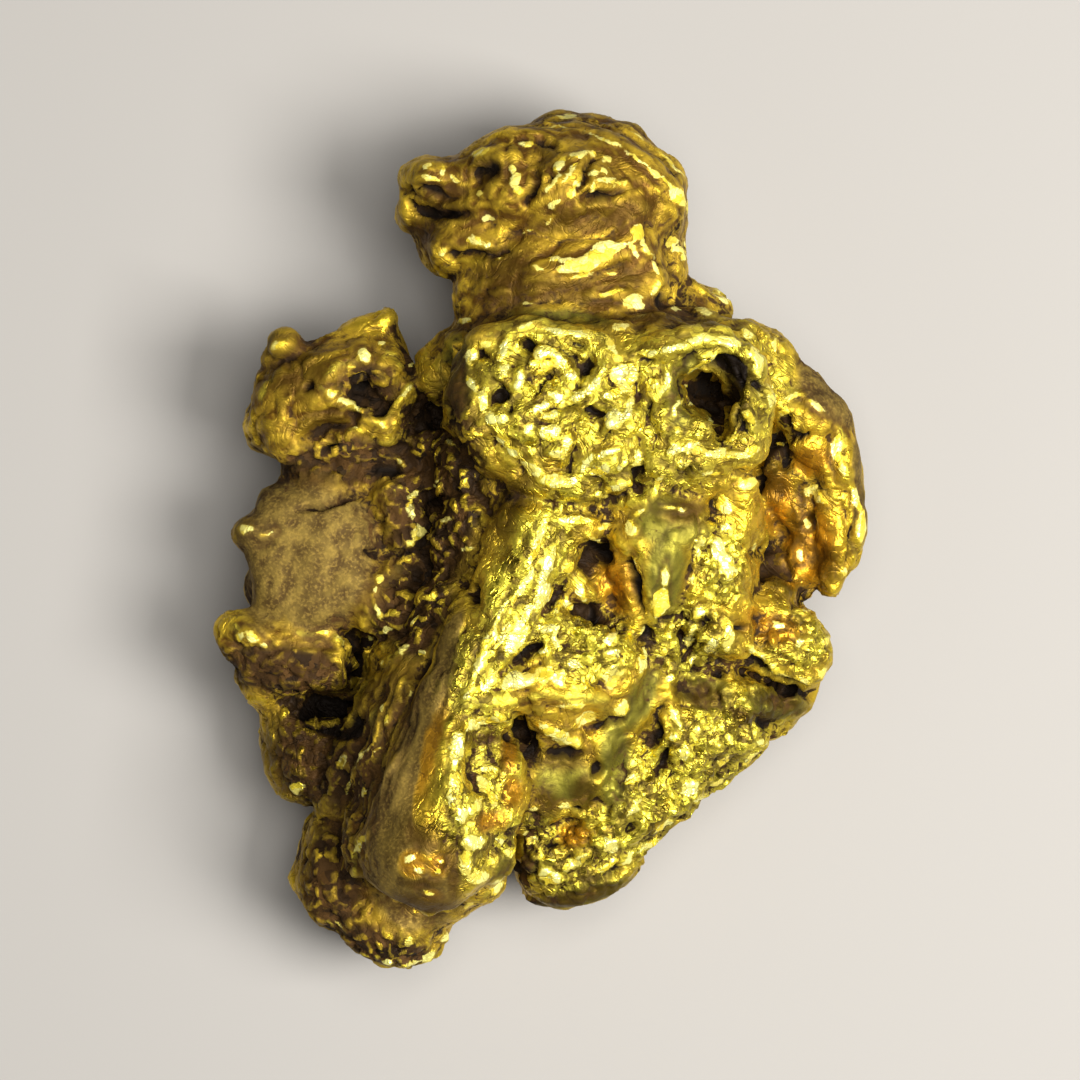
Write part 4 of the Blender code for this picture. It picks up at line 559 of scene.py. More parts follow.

# Spots are ovals: x, y, half the length, half the width and, for those that are turned, the turn
# in degrees. Flakes are flat scales of metal, rubbed by the river and painted pale as highlights;
# holes are the small pits and gaps between them, painted near black as shade.

FLAKES = (
    # snout, brow, cheek knot
    (-3.4, 12.7, 0.12, 0.24), (-3.75, 12.3, 0.38, 0.12, -8), (-3.95, 12.75, 0.16, 0.1, 30),
    (-2.0, 13.2, 0.3, 0.14, 20), (-0.5, 13.5, 0.26, 0.14, 5), (-2.9, 12.3, 0.18, 0.08, -40),
    (-1.0, 12.6, 0.16, 0.18), (-0.85, 12.2, 0.3, 0.2, 60), (-0.75, 11.85, 0.16, 0.2),
    (-2.05, 11.8, 0.14, 0.08), (-1.8, 10.95, 0.28, 0.08, 5),
    # the wrinkled knot and the banded shell
    (0.45, 12.15, 0.34, 0.12, 50), (0.65, 12.75, 0.4, 0.13, 48), (1.25, 13.05, 0.34, 0.13, 20),
    (1.7, 13.1, 0.22, 0.12, -10), (0.95, 12.35, 0.46, 0.12, 52), (1.2, 12.1, 0.4, 0.1, 62),
    (1.0, 11.75, 0.24, 0.12, 50), (2.2, 12.9, 0.26, 0.18, 10), (1.75, 12.4, 0.22, 0.1, 15),
    (1.75, 11.95, 0.22, 0.12, 60), (2.2, 12.2, 0.3, 0.12, 5), (2.6, 12.05, 0.34, 0.1, 5),
    (2.1, 12.5, 0.16, 0.1), (0.2, 11.9, 0.16, 0.1), (0.45, 11.35, 0.22, 0.1, 20),
    (4.75, 11.7, 0.5, 0.22, -46), (4.1, 12.3, 1.2, 0.09, -41), (4.5, 12.9, 1.0, 0.07, -43),
    (3.3, 12.95, 0.6, 0.07, -38), (2.1, 13.72, 0.9, 0.07, -24), (0.85, 14.6, 0.38, 0.14, -8),
    (3.3, 13.85, 0.5, 0.05, -36), (0.5, 14.15, 0.6, 0.06, -6),
    # jaw, cheek and the folded ledge
    (-2.25, 10.2, 0.34, 0.2, -12), (-1.85, 10.05, 0.16, 0.12), (-3.4, 9.85, 0.18, 0.1, 20),
    (-1.4, 9.6, 0.14, 0.08), (-0.5, 10.5, 0.26, 0.08, 12), (0.25, 10.85, 0.24, 0.08, 40),
    (4.45, 10.25, 0.22, 0.2, -30), (4.65, 9.9, 0.34, 0.14, -10), (5.0, 9.75, 0.2, 0.1, 20),
    (4.9, 10.25, 0.12, 0.16), (0.65, 9.5, 0.5, 0.09, 5), (1.25, 9.3, 0.8, 0.24, 10),
    (2.1, 9.75, 0.9, 0.28, 26), (3.25, 10.45, 0.26, 0.24, 30), (3.15, 9.9, 0.42, 0.1, -60),
    (3.55, 9.95, 0.38, 0.09, -62), (-0.1, 9.2, 0.2, 0.1, -32), (1.3, 8.95, 0.5, 0.1, 12),
    (2.4, 9.05, 0.2, 0.07, 10), (3.85, 9.2, 0.3, 0.09, -60), (3.1, 8.15, 0.3, 0.22, 20),
    (2.4, 8.4, 0.46, 0.1, 12), (3.85, 8.55, 0.3, 0.12, 60), (3.3, 7.9, 0.22, 0.14),
    (2.9, 7.95, 0.16, 0.12), (-2.6, 7.5, 0.34, 0.1, 18), (-0.5, 8.05, 0.3, 0.06, 14),
    (4.6, 7.85, 0.24, 0.12), (5.5, 7.8, 0.3, 0.14, -10), (6.2, 8.45, 0.4, 0.07, -40),
    # the crinkled pad
    (-2.35, 6.15, 0.3, 0.12, 70), (-1.85, 6.55, 0.22, 0.1, 20), (-1.3, 6.3, 0.46, 0.1, 70),
    (-2.3, 5.2, 0.34, 0.1, -60), (-1.92, 4.65, 0.44, 0.15, 82), (-1.7, 4.05, 0.22, 0.2),
    (-1.3, 3.45, 0.34, 0.14, -48), (-0.85, 2.95, 0.34, 0.18, -45), (-0.3, 2.4, 0.34, 0.18, -38),
    (-1.2, 5.65, 0.3, 0.1, 60), (-0.75, 5.3, 0.34, 0.1, 80), (0.5, 7.0, 0.44, 0.12, -8),
    (1.4, 6.9, 0.48, 0.12, -5), (2.25, 6.55, 0.4, 0.12, -55), (-0.4, 7.2, 0.48, 0.1, 18),
    (0.1, 6.25, 0.36, 0.26, 10), (0.6, 5.95, 0.34, 0.22, -38), (0.95, 5.55, 0.2, 0.26),
    (0.15, 5.75, 0.3, 0.12, 20), (-0.2, 5.95, 0.2, 0.14), (2.8, 5.5, 0.42, 0.44),
    (2.45, 4.9, 0.42, 0.13, 22), (2.95, 4.5, 0.42, 0.13, 70), (1.9, 5.4, 0.44, 0.1, 62),
    (1.2, 4.8, 0.26, 0.12, 30), (1.6, 5.0, 0.24, 0.12, 40), (-0.1, 4.4, 0.36, 0.14, 25),
    (0.5, 4.75, 0.3, 0.14, -35), (0.3, 4.15, 0.3, 0.13, 5), (2.4, 4.0, 0.36, 0.3, 70),
    (0.3, 3.55, 0.34, 0.26, -20), (0.85, 3.3, 0.3, 0.14, 80), (0.6, 2.9, 0.34, 0.12),
    (-0.4, 3.75, 0.2, 0.12, 40), (-1.35, 4.1, 0.22, 0.14), (0.6, 2.0, 0.62, 0.18, 2),
    (1.5, 2.55, 0.34, 0.12, 65), (2.2, 2.95, 0.38, 0.1, 22), (2.0, 2.35, 0.3, 0.18, 20),
    (2.55, 1.8, 0.44, 0.14, 18), (1.95, 1.5, 0.26, 0.1, 10), (3.2, 2.7, 0.32, 0.1, 80),
    (2.7, 2.5, 0.22, 0.12, 60), (3.9, 1.9, 0.34, 0.1, 70),
    # the pitted pad: brow, lips, walls
    (3.6, 6.25, 0.34, 0.11, 5), (4.4, 6.4, 0.44, 0.11, 20), (5.3, 6.7, 0.5, 0.13, 6),
    (6.25, 6.6, 0.44, 0.13, -12), (7.1, 6.35, 0.26, 0.16, 80), (7.3, 5.85, 0.4, 0.18, 85),
    (7.75, 5.0, 0.52, 0.11, 88), (6.95, 7.0, 0.22, 0.12, -40), (2.7, 7.15, 0.3, 0.12, -10),
    (3.7, 5.1, 0.34, 0.13, 80), (4.15, 5.3, 0.4, 0.07, 70), (4.5, 4.6, 0.44, 0.07, 75),
    (4.9, 5.55, 0.3, 0.07, 60), (5.3, 5.9, 0.34, 0.07, 35), (5.7, 6.05, 0.24, 0.07, 30),
    (4.55, 3.65, 0.14, 0.12), (5.1, 4.3, 0.4, 0.07, -35), (5.5, 4.1, 0.36, 0.09, -30),
    (5.1, 3.05, 0.4, 0.14), (5.8, 2.95, 0.34, 0.16, 5), (6.5, 2.8, 0.42, 0.11, -2),
    (7.05, 3.0, 0.28, 0.09, 30), (4.4, 3.0, 0.22, 0.14, 30), (6.95, 4.1, 0.36, 0.16, -40),
    (4.6, 2.55, 0.12, 0.1), (4.9, 2.6, 0.12, 0.1), (6.95, 1.9, 0.36, 0.18, 25),
    (5.7, 2.3, 0.34, 0.08), (7.35, 4.9, 0.12, 0.1), (8.0, 6.7, 0.3, 0.1, 80),
    # flange: the bright inner edge of its rim, and blobs in the bowl
    (8.35, 4.35, 0.16, 0.12, 40), (8.75, 3.95, 0.18, 0.12, 60), (8.3, 3.35, 0.14, 0.12),
    (8.6, 4.9, 0.4, 0.08, 12), (9.4, 4.6, 0.34, 0.1, -30), (10.15, 3.2, 0.54, 0.15, 88),
    (10.3, 2.5, 0.36, 0.13, -75), (10.85, 1.4, 0.44, 0.12, -70), (11.05, 0.5, 0.6, 0.13, 88),
    (9.3, 1.75, 0.28, 0.18, 20), (9.65, 1.45, 0.24, 0.18, -40), (9.25, 0.6, 0.14, 0.18),
    (10.5, -1.1, 0.2, 0.14, 50), (9.0, -0.5, 0.22, 0.12, -70),
    # under the pitted pad, and the tongue
    (6.2, 1.2, 0.28, 0.3), (6.25, 0.4, 0.14, 0.12), (6.0, -0.35, 0.46, 0.24, -70),
    (6.35, -1.0, 0.34, 0.24, -60), (7.3, -0.2, 0.12, 0.16), (5.1, -1.35, 0.12, 0.11),
    (9.15, -2.35, 0.24, 0.14, 10), (4.0, -2.1, 0.52, 0.24, 78), (4.15, -1.2, 0.3, 0.12, 80),
    (3.15, -0.8, 0.26, 0.1, -75), (1.2, 0.65, 0.54, 0.11, -5), (3.0, 0.4, 0.2, 0.24),
    (2.1, 0.45, 0.3, 0.09, 10), (3.3, 0.95, 0.2, 0.1, 30), (1.8, 0.0, 0.3, 0.08, -30),
    (4.5, 1.05, 0.34, 0.07), (5.3, -0.3, 0.34, 0.06, 75),
    # crest of the spine: long bars
    (-0.15, -0.1, 0.95, 0.11, 72), (0.2, -0.9, 0.7, 0.15, 68), (-0.6, -1.5, 0.75, 0.12, 60),
    (0.0, -1.9, 0.46, 0.22, 62), (-0.55, -2.5, 0.44, 0.13, 55), (-1.3, -2.3, 0.6, 0.07, 58),
    (-1.9, -3.7, 0.95, 0.14, 66), (-1.35, -3.3, 0.55, 0.08, 62), (-0.85, -3.3, 0.6, 0.26, 55),
    (-1.7, -4.7, 0.5, 0.13, 60), (-2.3, -5.1, 0.36, 0.13, 40), (-0.8, -4.75, 0.58, 0.3, 12),
    (0.1, -4.5, 0.34, 0.3), (0.6, -4.6, 0.24, 0.22), (0.2, -2.95, 0.34, 0.12, 5),
    (0.5, -3.4, 0.34, 0.11, -80), (0.05, -3.75, 0.2, 0.1, 20), (0.9, -0.9, 0.22, 0.12, 60),
    (1.35, -1.8, 0.36, 0.11, -60), (0.55, -2.3, 0.3, 0.12, 60), (0.9, -2.2, 0.14, 0.2),
    # arch, chip, cup and the lobes under it
    (-2.3, -6.15, 0.4, 0.16, 30), (-1.65, -5.98, 0.44, 0.12, 2), (0.6, -6.6, 0.78, 0.2, -28),
    (1.5, -6.0, 0.46, 0.2, 22), (2.7, -5.75, 0.34, 0.26, 40), (1.0, -5.6, 0.5, 0.08, 5),
    (-2.85, -7.0, 0.52, 0.2, 80), (-2.9, -8.4, 0.66, 0.24, 85), (-2.65, -9.2, 0.3, 0.18, 60),
    (-1.8, -7.7, 0.22, 0.13), (-1.95, -8.25, 0.34, 0.16, -50), (-1.65, -8.75, 0.3, 0.13, -58),
    (-2.2, -8.9, 0.3, 0.13, 50), (-2.3, -10.15, 0.4, 0.26, 10), (-2.55, -10.8, 0.44, 0.24, 88),
    (-2.2, -11.35, 0.38, 0.22, 5), (-1.55, -11.85, 0.42, 0.22, 50), (-2.5, -12.6, 0.22, 0.08, 35),
    (-1.05, -10.6, 0.2, 0.15), (-0.7, -10.1, 0.22, 0.14, 20), (-0.3, -9.15, 0.16, 0.1, 20),
    (-1.4, -10.2, 0.16, 0.14), (-0.35, -10.4, 0.16, 0.14),
    # the middle's lower half and the long face
    (2.4, -3.9, 0.26, 0.24), (2.3, -3.35, 0.2, 0.16), (3.4, -4.1, 0.4, 0.18, 80),
    (4.1, -3.85, 0.2, 0.12, 50), (4.4, -4.75, 0.2, 0.13, 10), (5.2, -4.15, 0.15, 0.13),
    (5.8, -3.55, 0.28, 0.18, 60), (5.3, -2.5, 0.18, 0.11, 30), (5.9, -2.55, 0.14, 0.12),
    (6.35, -3.3, 0.42, 0.16, 85), (5.0, -3.4, 0.5, 0.08, 72), (2.4, -4.6, 0.4, 0.3, 60),
    (1.1, -4.2, 0.24, 0.12, -20), (3.4, -3.2, 0.12, 0.12), (2.4, -10.5, 0.26, 0.24, 60),
    (1.2, -11.1, 0.56, 0.16, 32), (0.3, -11.6, 0.4, 0.22, -32), (2.3, -11.3, 0.44, 0.1, 30),
    (0.8, -9.1, 0.2, 0.14), (3.2, -9.15, 0.38, 0.11, 50), (3.1, -8.15, 0.24, 0.18, 30),
    (4.85, -7.3, 0.24, 0.12, 75), (5.1, -8.55, 0.26, 0.24), (6.3, -7.6, 0.26, 0.14, 50),
    (4.6, -6.1, 0.44, 0.11, -55), (5.3, -6.5, 0.15, 0.14), (4.5, -6.75, 0.15, 0.11),
    (5.5, -8.9, 0.3, 0.12, 35), (3.7, -10.6, 0.42, 0.11, 32), (4.2, -9.9, 0.38, 0.12, 32),
    (7.2, -7.6, 0.34, 0.11, 45), (6.1, -8.4, 0.3, 0.11, 40), (3.0, -11.1, 0.3, 0.12, 50),
    # shelf
    (7.3, -3.85, 0.44, 0.1, -42), (8.2, -4.45, 0.5, 0.09, -32), (9.0, -4.85, 0.4, 0.1, -18),
    (8.1, -2.9, 0.16, 0.1), (8.9, -3.55, 0.18, 0.11, 60), (9.8, -3.5, 0.16, 0.13),
    (9.75, -4.6, 0.24, 0.18, 40), (7.6, -7.0, 0.16, 0.12),
    # left wing: the lobe, its lip, the plate's edge, the bright step in the rough valley, the ledge
    (-8.95, 6.55, 0.3, 0.11, 12), (-6.05, 6.3, 0.28, 0.2, -40), (-6.5, 5.95, 0.22, 0.11, 15),
    (-5.5, 6.7, 0.14, 0.11), (-7.15, 5.05, 0.26, 0.18, 20), (-6.7, 4.75, 0.26, 0.12, -20),
    (-6.35, 4.5, 0.24, 0.1, -30), (-6.2, 3.78, 0.22, 0.11, -15), (-4.75, 4.95, 0.44, 0.11, 52),
    (-5.5, 4.05, 0.2, 0.12, -40), (-4.55, 6.0, 0.12, 0.08, 80), (-9.9, 0.3, 0.22, 0.16),
    (-9.4, 0.2, 0.18, 0.11, 20), (-4.55, 1.1, 0.44, 0.1, -75), (-4.25, 0.25, 0.26, 0.22, 30),
    (-4.5, -0.1, 0.14, 0.11), (-4.4, 1.6, 0.24, 0.1, 30), (-5.6, -1.3, 0.16, 0.18),
    (-5.75, -1.75, 0.15, 0.1, 60), (-7.5, -3.2, 0.26, 0.11, 8), (-6.9, -3.45, 0.24, 0.08, -5),
    (-6.0, -3.4, 0.16, 0.11), (-5.4, -3.1, 0.24, 0.08, 10), (-4.65, -3.7, 0.22, 0.1, 40),
    (-4.1, -3.8, 0.14, 0.1), (-10.4, -3.3, 0.2, 0.13, 70), (-9.95, -3.3, 0.36, 0.18, -42),
    (-9.6, -3.6, 0.24, 0.1, -42), (-3.7, -1.9, 0.16, 0.1, 20), (-5.6, -2.4, 0.3, 0.07, -65),
    (-4.3, -2.8, 0.26, 0.07, 42), (-2.5, -0.3, 0.22, 0.08, 10), (-3.2, 0.75, 0.14, 0.1),
    (-5.35, -4.2, 0.16, 0.08, 30), (-3.1, 3.3, 0.22, 0.08, -20), (-4.9, 2.7, 0.18, 0.07, -50),
    (-3.6, 2.0, 0.2, 0.06, 40), (-4.5, -5.2, 0.22, 0.05, 75),
    # lower left: streaks, foot, tip of the spine
    (-6.1, -8.6, 0.22, 0.1, 75), (-5.3, -6.1, 0.24, 0.07, 60), (-5.4, -5.7, 0.18, 0.07, 50),
    (-6.1, -7.4, 0.5, 0.06, 55), (-6.6, -8.4, 0.5, 0.06, 62), (-5.6, -7.2, 0.5, 0.05, 45),
    (-4.4, -10.65, 0.2, 0.09, 60), (-4.1, -11.0, 0.12, 0.07), (-3.35, -10.75, 0.1, 0.08),
    (-3.45, -11.1, 0.14, 0.07, 40), (-3.75, -11.85, 0.18, 0.07, -20), (-4.6, -13.9, 0.2, 0.14, 80),
    (-3.3, -13.8, 0.28, 0.12, 32), (-5.3, -14.6, 0.11, 0.1), (-4.5, -14.65, 0.28, 0.08, 5),
    (-3.95, -14.5, 0.3, 0.1, 42), (-7.0, -13.3, 0.22, 0.07, -30), (-6.15, -10.3, 0.46, 0.1, 60),
    (-8.5, -8.6, 0.2, 0.18), (-6.8, -7.6, 0.3, 0.14, 60),
)

HOLES = (
    # head: eye and its socket's corners, gap behind the brow, creases, mouth, slits in the knot
    (-1.85, 12.6, 0.42, 0.32, 15), (0.1, 13.6, 0.3, 0.16, -38), (-0.35, 11.85, 0.44, 0.11, 75),
    (-3.9, 11.85, 0.85, 0.12, -10), (-3.5, 11.2, 0.8, 0.12, -12), (-4.4, 11.5, 0.24, 0.08, -50),
    (1.5, 12.45, 0.6, 0.11, 58), (2.05, 11.62, 0.55, 0.15, 16), (1.45, 11.7, 0.2, 0.07, 60),
    (-2.3, 9.75, 0.75, 0.09), (-3.0, 9.7, 0.2, 0.1), (4.15, 8.2, 0.34, 0.16, 65),
    (0.3, 12.4, 0.2, 0.05, 50),
    # pads
    (-0.5, 6.55, 0.2, 0.18), (1.25, 6.5, 0.24, 0.13, -20), (1.5, 5.75, 0.26, 0.16, 60),
    (-1.35, 4.85, 0.24, 0.2), (-1.05, 4.35, 0.18, 0.12, 30), (-2.1, 6.3, 0.18, 0.14),
    (3.5, 5.95, 0.2, 0.09), (3.6, 4.4, 0.46, 0.09, 85), (1.9, 4.2, 0.34, 0.09, -12),
    (3.25, 2.1, 0.44, 0.12, 85), (4.75, 2.25, 0.2, 0.13), (2.2, 3.5, 0.24, 0.07, 40),
    (6.1, 5.45, 0.95, 0.66, 12), (6.35, 4.45, 0.8, 0.36, 84), (7.4, 5.2, 0.34, 0.22, -10),
    (5.0, 6.05, 0.26, 0.1, 30), (5.5, 5.7, 0.3, 0.12, 40), (0.0, 5.2, 0.3, 0.05, 60),
    (5.35, 6.3, 0.5, 0.09, 12), (5.2, 5.0, 0.3, 0.1, 65), (6.95, 5.75, 0.24, 0.14, -60),
    (6.75, 3.75, 0.34, 0.1, -55), (5.75, 4.45, 0.26, 0.12, -40), (0.9, 4.5, 0.4, 0.05, 15),
    (0.9, 6.2, 0.3, 0.05, -40), (1.1, 2.7, 0.5, 0.05, 70),
    # flange and the gap between it and the middle
    (7.55, 2.1, 0.4, 0.14, 85), (8.45, 2.75, 0.34, 0.15, 85), (8.9, 3.5, 0.34, 0.12, 10),
    (8.5, 4.05, 0.12, 0.2), (7.85, -0.2, 0.24, 0.3), (10.75, 0.0, 0.6, 0.07, 80),
    # the middle
    (2.0, -0.35, 0.46, 0.2, -45), (1.85, -2.6, 0.4, 0.24, -25), (3.15, -1.7, 0.9, 0.14, -80),
    (3.6, -3.3, 0.26, 0.22), (-0.4, -3.8, 0.5, 0.14, 42), (2.25, -6.2, 0.46, 0.1, 18),
    (-0.5, -6.7, 0.85, 0.26, -65), (0.8, -7.25, 0.55, 0.15), (1.85, -7.8, 0.16, 0.22),
    (1.1, -9.35, 0.3, 0.14, 10), (0.35, -10.5, 0.26, 0.11, 22), (2.65, -11.5, 0.4, 0.13, 28),
    (3.1, -10.0, 0.34, 0.11, 58), (4.15, -7.55, 0.5, 0.12, 78), (4.5, -8.1, 0.16, 0.1, 30),
    (4.1, -5.8, 0.28, 0.1, 60), (3.9, -6.6, 0.45, 0.18, 80), (6.9, -3.0, 0.18, 0.16),
    (5.35, -4.5, 0.28, 0.08, 10), (5.6, -2.75, 0.3, 0.11, 42), (4.95, -3.9, 0.5, 0.05, 75),
    (8.5, -5.0, 1.15, 0.26, -26), (7.4, -4.3, 0.5, 0.24, -48), (7.8, -6.4, 0.36, 0.18, -20),
    (-1.1, -6.6, 0.2, 0.24), (0.6, -1.7, 0.3, 0.06, 60), (6.1, -4.6, 0.2, 0.14),
    # left wing and lower left
    (-6.2, 5.35, 0.28, 0.3), (-5.35, 4.6, 0.38, 0.11, 55), (-7.4, 1.2, 0.6, 0.05, 12),
    (-8.8, 6.25, 0.28, 0.06, 25), (-7.3, 3.3, 0.3, 0.16, 60), (-3.3, 4.2, 0.3, 0.46),
    (-8.0, 5.3, 0.14, 0.1, 60), (-2.3, -1.8, 0.2, 0.28), (-4.6, -0.45, 0.5, 0.1, 5),
    (-7.3, -6.2, 1.15, 0.6, -15), (-6.35, -4.6, 0.36, 0.6), (-3.9, -4.3, 0.4, 0.16, 50),
    (-6.7, -3.5, 0.3, 0.1, -60), (-5.9, -0.5, 0.16, 0.12), (-5.4, 2.4, 0.6, 0.18, 5),
    (-1.2, -11.75, 0.3, 0.1), (-6.2, -9.5, 0.4, 0.07, 60),
)

skin = nugget.data
places = read_corners(skin) / MM
normals = read_corners(skin, "vertex_normals", "vector")

# The strokes above are laid on what is seen from straight above: corners that face up, and
# that no other part of the nugget hangs over.
open_above = 1 - smooth_step(below_top(places), 1.2, 2.2)
upper = smooth_step(normals[:, 2], -0.1, 0.35) * open_above

# The places are shaken a little, so that no stroke or border runs smoothly, and the seams come
# and go along their length.
shaken = warp(warp(places, 0.9, 11, 0.10), 0.32, 14, 0.07)
broken = np.clip(0.75 + 0.9 * waves(places, 0.9, 17), 0.15, 1.3)
seams = strongest(shaken, SEAMS)
cracks = strongest(shaken, CRACKS)

# Where each kind of surface lies, as ovals: the crinkled and pitted pads, the rubbed crest of the
# spine, the smooth bruised plates, the satin faces of the tongue and the hollows, crusty valleys,
# the streaked rib, granular faces, amber places, the head, gold that is old and brown and partly
# painted shade, and patches of painted shade. Knobs and dents are single bumps, and the shell is
# the head's banded back.
PAD = (
    (0.3, 4.9, 2.9, 2.5, -15), (3.6, 4.6, 1.5, 2.2), (6.1, 5.0, 2.4, 2.4), (3.0, 2.2, 3.2, 1.0, 8),
)
CREST = ((-0.5, -1.6, 1.3, 3.2, -24), (-2.2, -4.6, 1.3, 1.8, -20), (-2.1, -8.4, 1.3, 3.2, -6))
PLATE = (
    (-8.0, -0.6, 2.2, 2.6), (-9.4, -1.2, 1.2, 1.9), (-6.6, 0.2, 0.9, 1.2), (-9.0, 1.2, 1.0, 0.9),
    (-4.1, -6.6, 0.6, 3.9, -17), (-5.0, -9.8, 0.8, 2.6, -8), (-4.3, -11.6, 1.6, 1.9),
    (-3.2, -3.4, 0.35, 1.2, -28), (9.9, 5.0, 1.5, 0.7, -48), (11.1, 2.2, 0.4, 2.2),
)
SATIN = (
    (4.3, 0.6, 1.2, 1.0), (4.2, -1.0, 0.7, 1.6), (2.5, -7.6, 0.55, 1.8), (3.4, -5.4, 0.45, 1.3, -30),
    (0.8, -8.1, 1.1, 0.9), (-0.9, -11.2, 0.8, 0.6), (1.4, -12.5, 2.2, 0.5, 15),
    (8.2, -5.7, 1.2, 0.6, -10), (5.6, -5.2, 1.1, 0.6, -10), (-2.9, 5.6, 0.6, 1.4),
    (1.0, 7.45, 1.5, 0.25, -5), (4.6, 4.8, 0.5, 1.2), (5.1, 5.4, 0.4, 0.9, 15),
)
CRUST = (
    (-3.6, 1.4, 1.9, 4.2, -8), (-4.4, -2.4, 1.9, 1.6), (-8.6, -4.6, 2.8, 1.0, -8),
    (-7.7, -7.2, 1.9, 2.4), (-7.2, -11.8, 1.1, 2.2), (-6.0, 5.2, 1.1, 1.0), (-6.9, 2.7, 2.4, 0.9, 5),
    (-5.4, -14.1, 1.9, 0.8, -15),
)
STREAKS = ((-5.4, -6.9, 0.9, 3.2, -22),)
GRAINS = (
    (4.9, -8.2, 4.6, 1.9, 43), (1.1, -11.0, 2.0, 1.5), (5.0, -3.4, 1.5, 1.4), (1.6, -3.6, 1.6, 1.3),
    (-0.4, -10.2, 1.1, 0.9), (8.6, -3.4, 1.5, 1.0, -20), (6.0, -0.7, 0.9, 1.5, 10),
)
EMBER = (
    (9.3, -0.2, 1.0, 1.7, 5), (9.3, 2.8, 0.7, 0.6), (8.1, 1.3, 0.7, 1.2), (2.5, -1.5, 0.6, 1.1, 10),
    (1.1, -10.2, 0.6, 0.5), (7.9, -3.0, 1.2, 0.6, -20), (-1.1, -7.1, 0.3, 0.9),
    (-1.0, -8.5, 0.4, 0.6), (-1.7, -9.5, 0.6, 0.4), (-3.7, -7.0, 0.3, 1.8, -14),
    (-4.3, -10.8, 0.5, 0.5), (-3.4, -10.9, 0.4, 0.5), (-3.7, -11.9, 0.35, 0.25),
)
HEAD = ((1.3, 12.0, 4.0, 3.2, -8), (-3.0, 11.4, 2.0, 2.0), (0.9, 8.8, 4.0, 1.5, 5))
# Old gold is browner metal; its browning on the left side, the head and the neck is partly painted
# shade.
OLD_GOLD_AND_SHADE = (
    *HEAD, (-1.0, 7.7, 3.2, 0.8, 8), (4.5, 7.6, 2.6, 0.9, -5), (-7.6, 5.4, 2.9, 1.8),
    (-7.6, 0.4, 3.6, 3.8), (-9.4, -4.0, 2.4, 1.2), (9.9, 5.0, 1.9, 1.1, -48),
    (-5.6, -7.4, 1.4, 3.4, -20), (-6.8, -12.2, 1.7, 2.8), (0.0, -5.35, 2.4, 0.25, 2),
)
# Painted shade: darker brown patches where shadow falls, in sockets and folds, under the jaw and
# under ledges.
PAINTED_SHADE = (
    (-1.9, 12.6, 0.75, 0.5), (-3.3, 11.2, 0.9, 0.5, -12), (0.2, 13.1, 0.4, 0.6, -20),
    (2.6, 11.1, 1.6, 0.35, 12), (3.0, 8.9, 0.45, 0.45), (1.0, 8.15, 1.8, 0.22, -6),
    (-7.5, 4.05, 1.1, 0.34, 10), (-6.3, 2.45, 1.9, 0.36, 8), (-3.7, -9.9, 0.9, 0.55, -12),
    (-4.1, -12.4, 1.3, 0.6), (-2.95, -11.0, 0.28, 1.1), (-4.0, -11.5, 0.7, 0.22),
    (-1.3, 9.0, 1.0, 1.2), (0.4, 8.5, 1.8, 0.45, 6), (1.8, 10.9, 2.1, 0.45, 8), (-8.4, 5.7, 1.3, 1.0),
    (-4.0, 10.8, 0.7, 0.45, -40), (5.6, -5.3, 1.0, 0.45, -10), (6.9, -6.0, 1.2, 0.26, -10),
    (8.3, -5.6, 0.9, 0.36, -15), (0.7, -7.5, 1.0, 0.4), (0.2, -9.0, 0.5, 0.6), (1.5, -8.7, 0.45, 0.7),
    (-0.8, -11.2, 0.6, 0.4), (8.3, -1.3, 0.6, 0.85), (1.3, -12.4, 2.0, 0.32, 12),
    (-1.9, -6.7, 0.6, 0.34, 10), (4.7, 0.95, 0.9, 0.5), (9.0, 0.9, 0.45, 1.1), (9.9, -0.9, 0.45, 0.6),
    (8.1, 2.0, 0.4, 0.8), (-2.9, 4.9, 0.4, 1.6, -8), (-1.0, 1.2, 0.45, 1.3, -20),
    (4.6, 7.5, 2.2, 0.24, -4), (6.2, 5.3, 1.0, 0.9), (-8.4, -4.6, 2.6, 0.8, -8),
    (-8.0, -7.6, 1.6, 1.8),
)
KNOBS = (
    (4.95, 4.75, 0.65, 0.5, -40), (-10.05, 0.25, 0.5, 0.42), (-5.35, 7.75, 0.35, 0.28, 60),
    (-8.85, 6.8, 0.45, 0.35),
)
DENTS = ((9.35, -1.95, 0.5, 0.35, 20), (11.05, -1.55, 0.45, 0.6, -25))
SHELL = ((3.4, 12.9, 2.4, 1.5, -38), (1.2, 14.3, 2.0, 0.7, -5))

KNOB_HEIGHT = 0.40  # also the depth of the dents

pad = patch(shaken, *PAD) * upper
crest = patch(shaken, *CREST) * upper
plate = patch(shaken, *PLATE) * upper
satin = patch(shaken, *SATIN) * upper
crust = patch(shaken, *CRUST) * (1 - plate)
streaks = patch(shaken, *STREAKS) * upper
grainy = patch(shaken, *GRAINS) * upper
ember = patch(shaken, *EMBER, soft=0.5) * upper
head = patch(shaken, *HEAD) * (0.4 + 0.6 * upper)
old = patch(shaken, *OLD_GOLD_AND_SHADE)
shell = patch(shaken, *SHELL)
painted_shade = patch(shaken, *PAINTED_SHADE, soft=0.5)

# Plain is what none of the kinds covers, and calm fades the finest relief on worn, satin faces.
plain = 1 - np.clip(pad + crest + plate + crust + streaks + grainy + head, 0, 1)
calm = 1 - 0.75 * plate - 0.6 * satin - 0.3 * ember

frayed = warp(warp(places, 0.5, 41, 0.11), 0.22, 45, 0.06)
past_flake = beyond(frayed, FLAKES)
past_hole = beyond(frayed, HOLES)
flake = (1 - smooth_step(past_flake, -0.05, 0.05)) * upper
outline = np.exp(-(((past_flake - 0.11) / 0.06) ** 2)) * upper
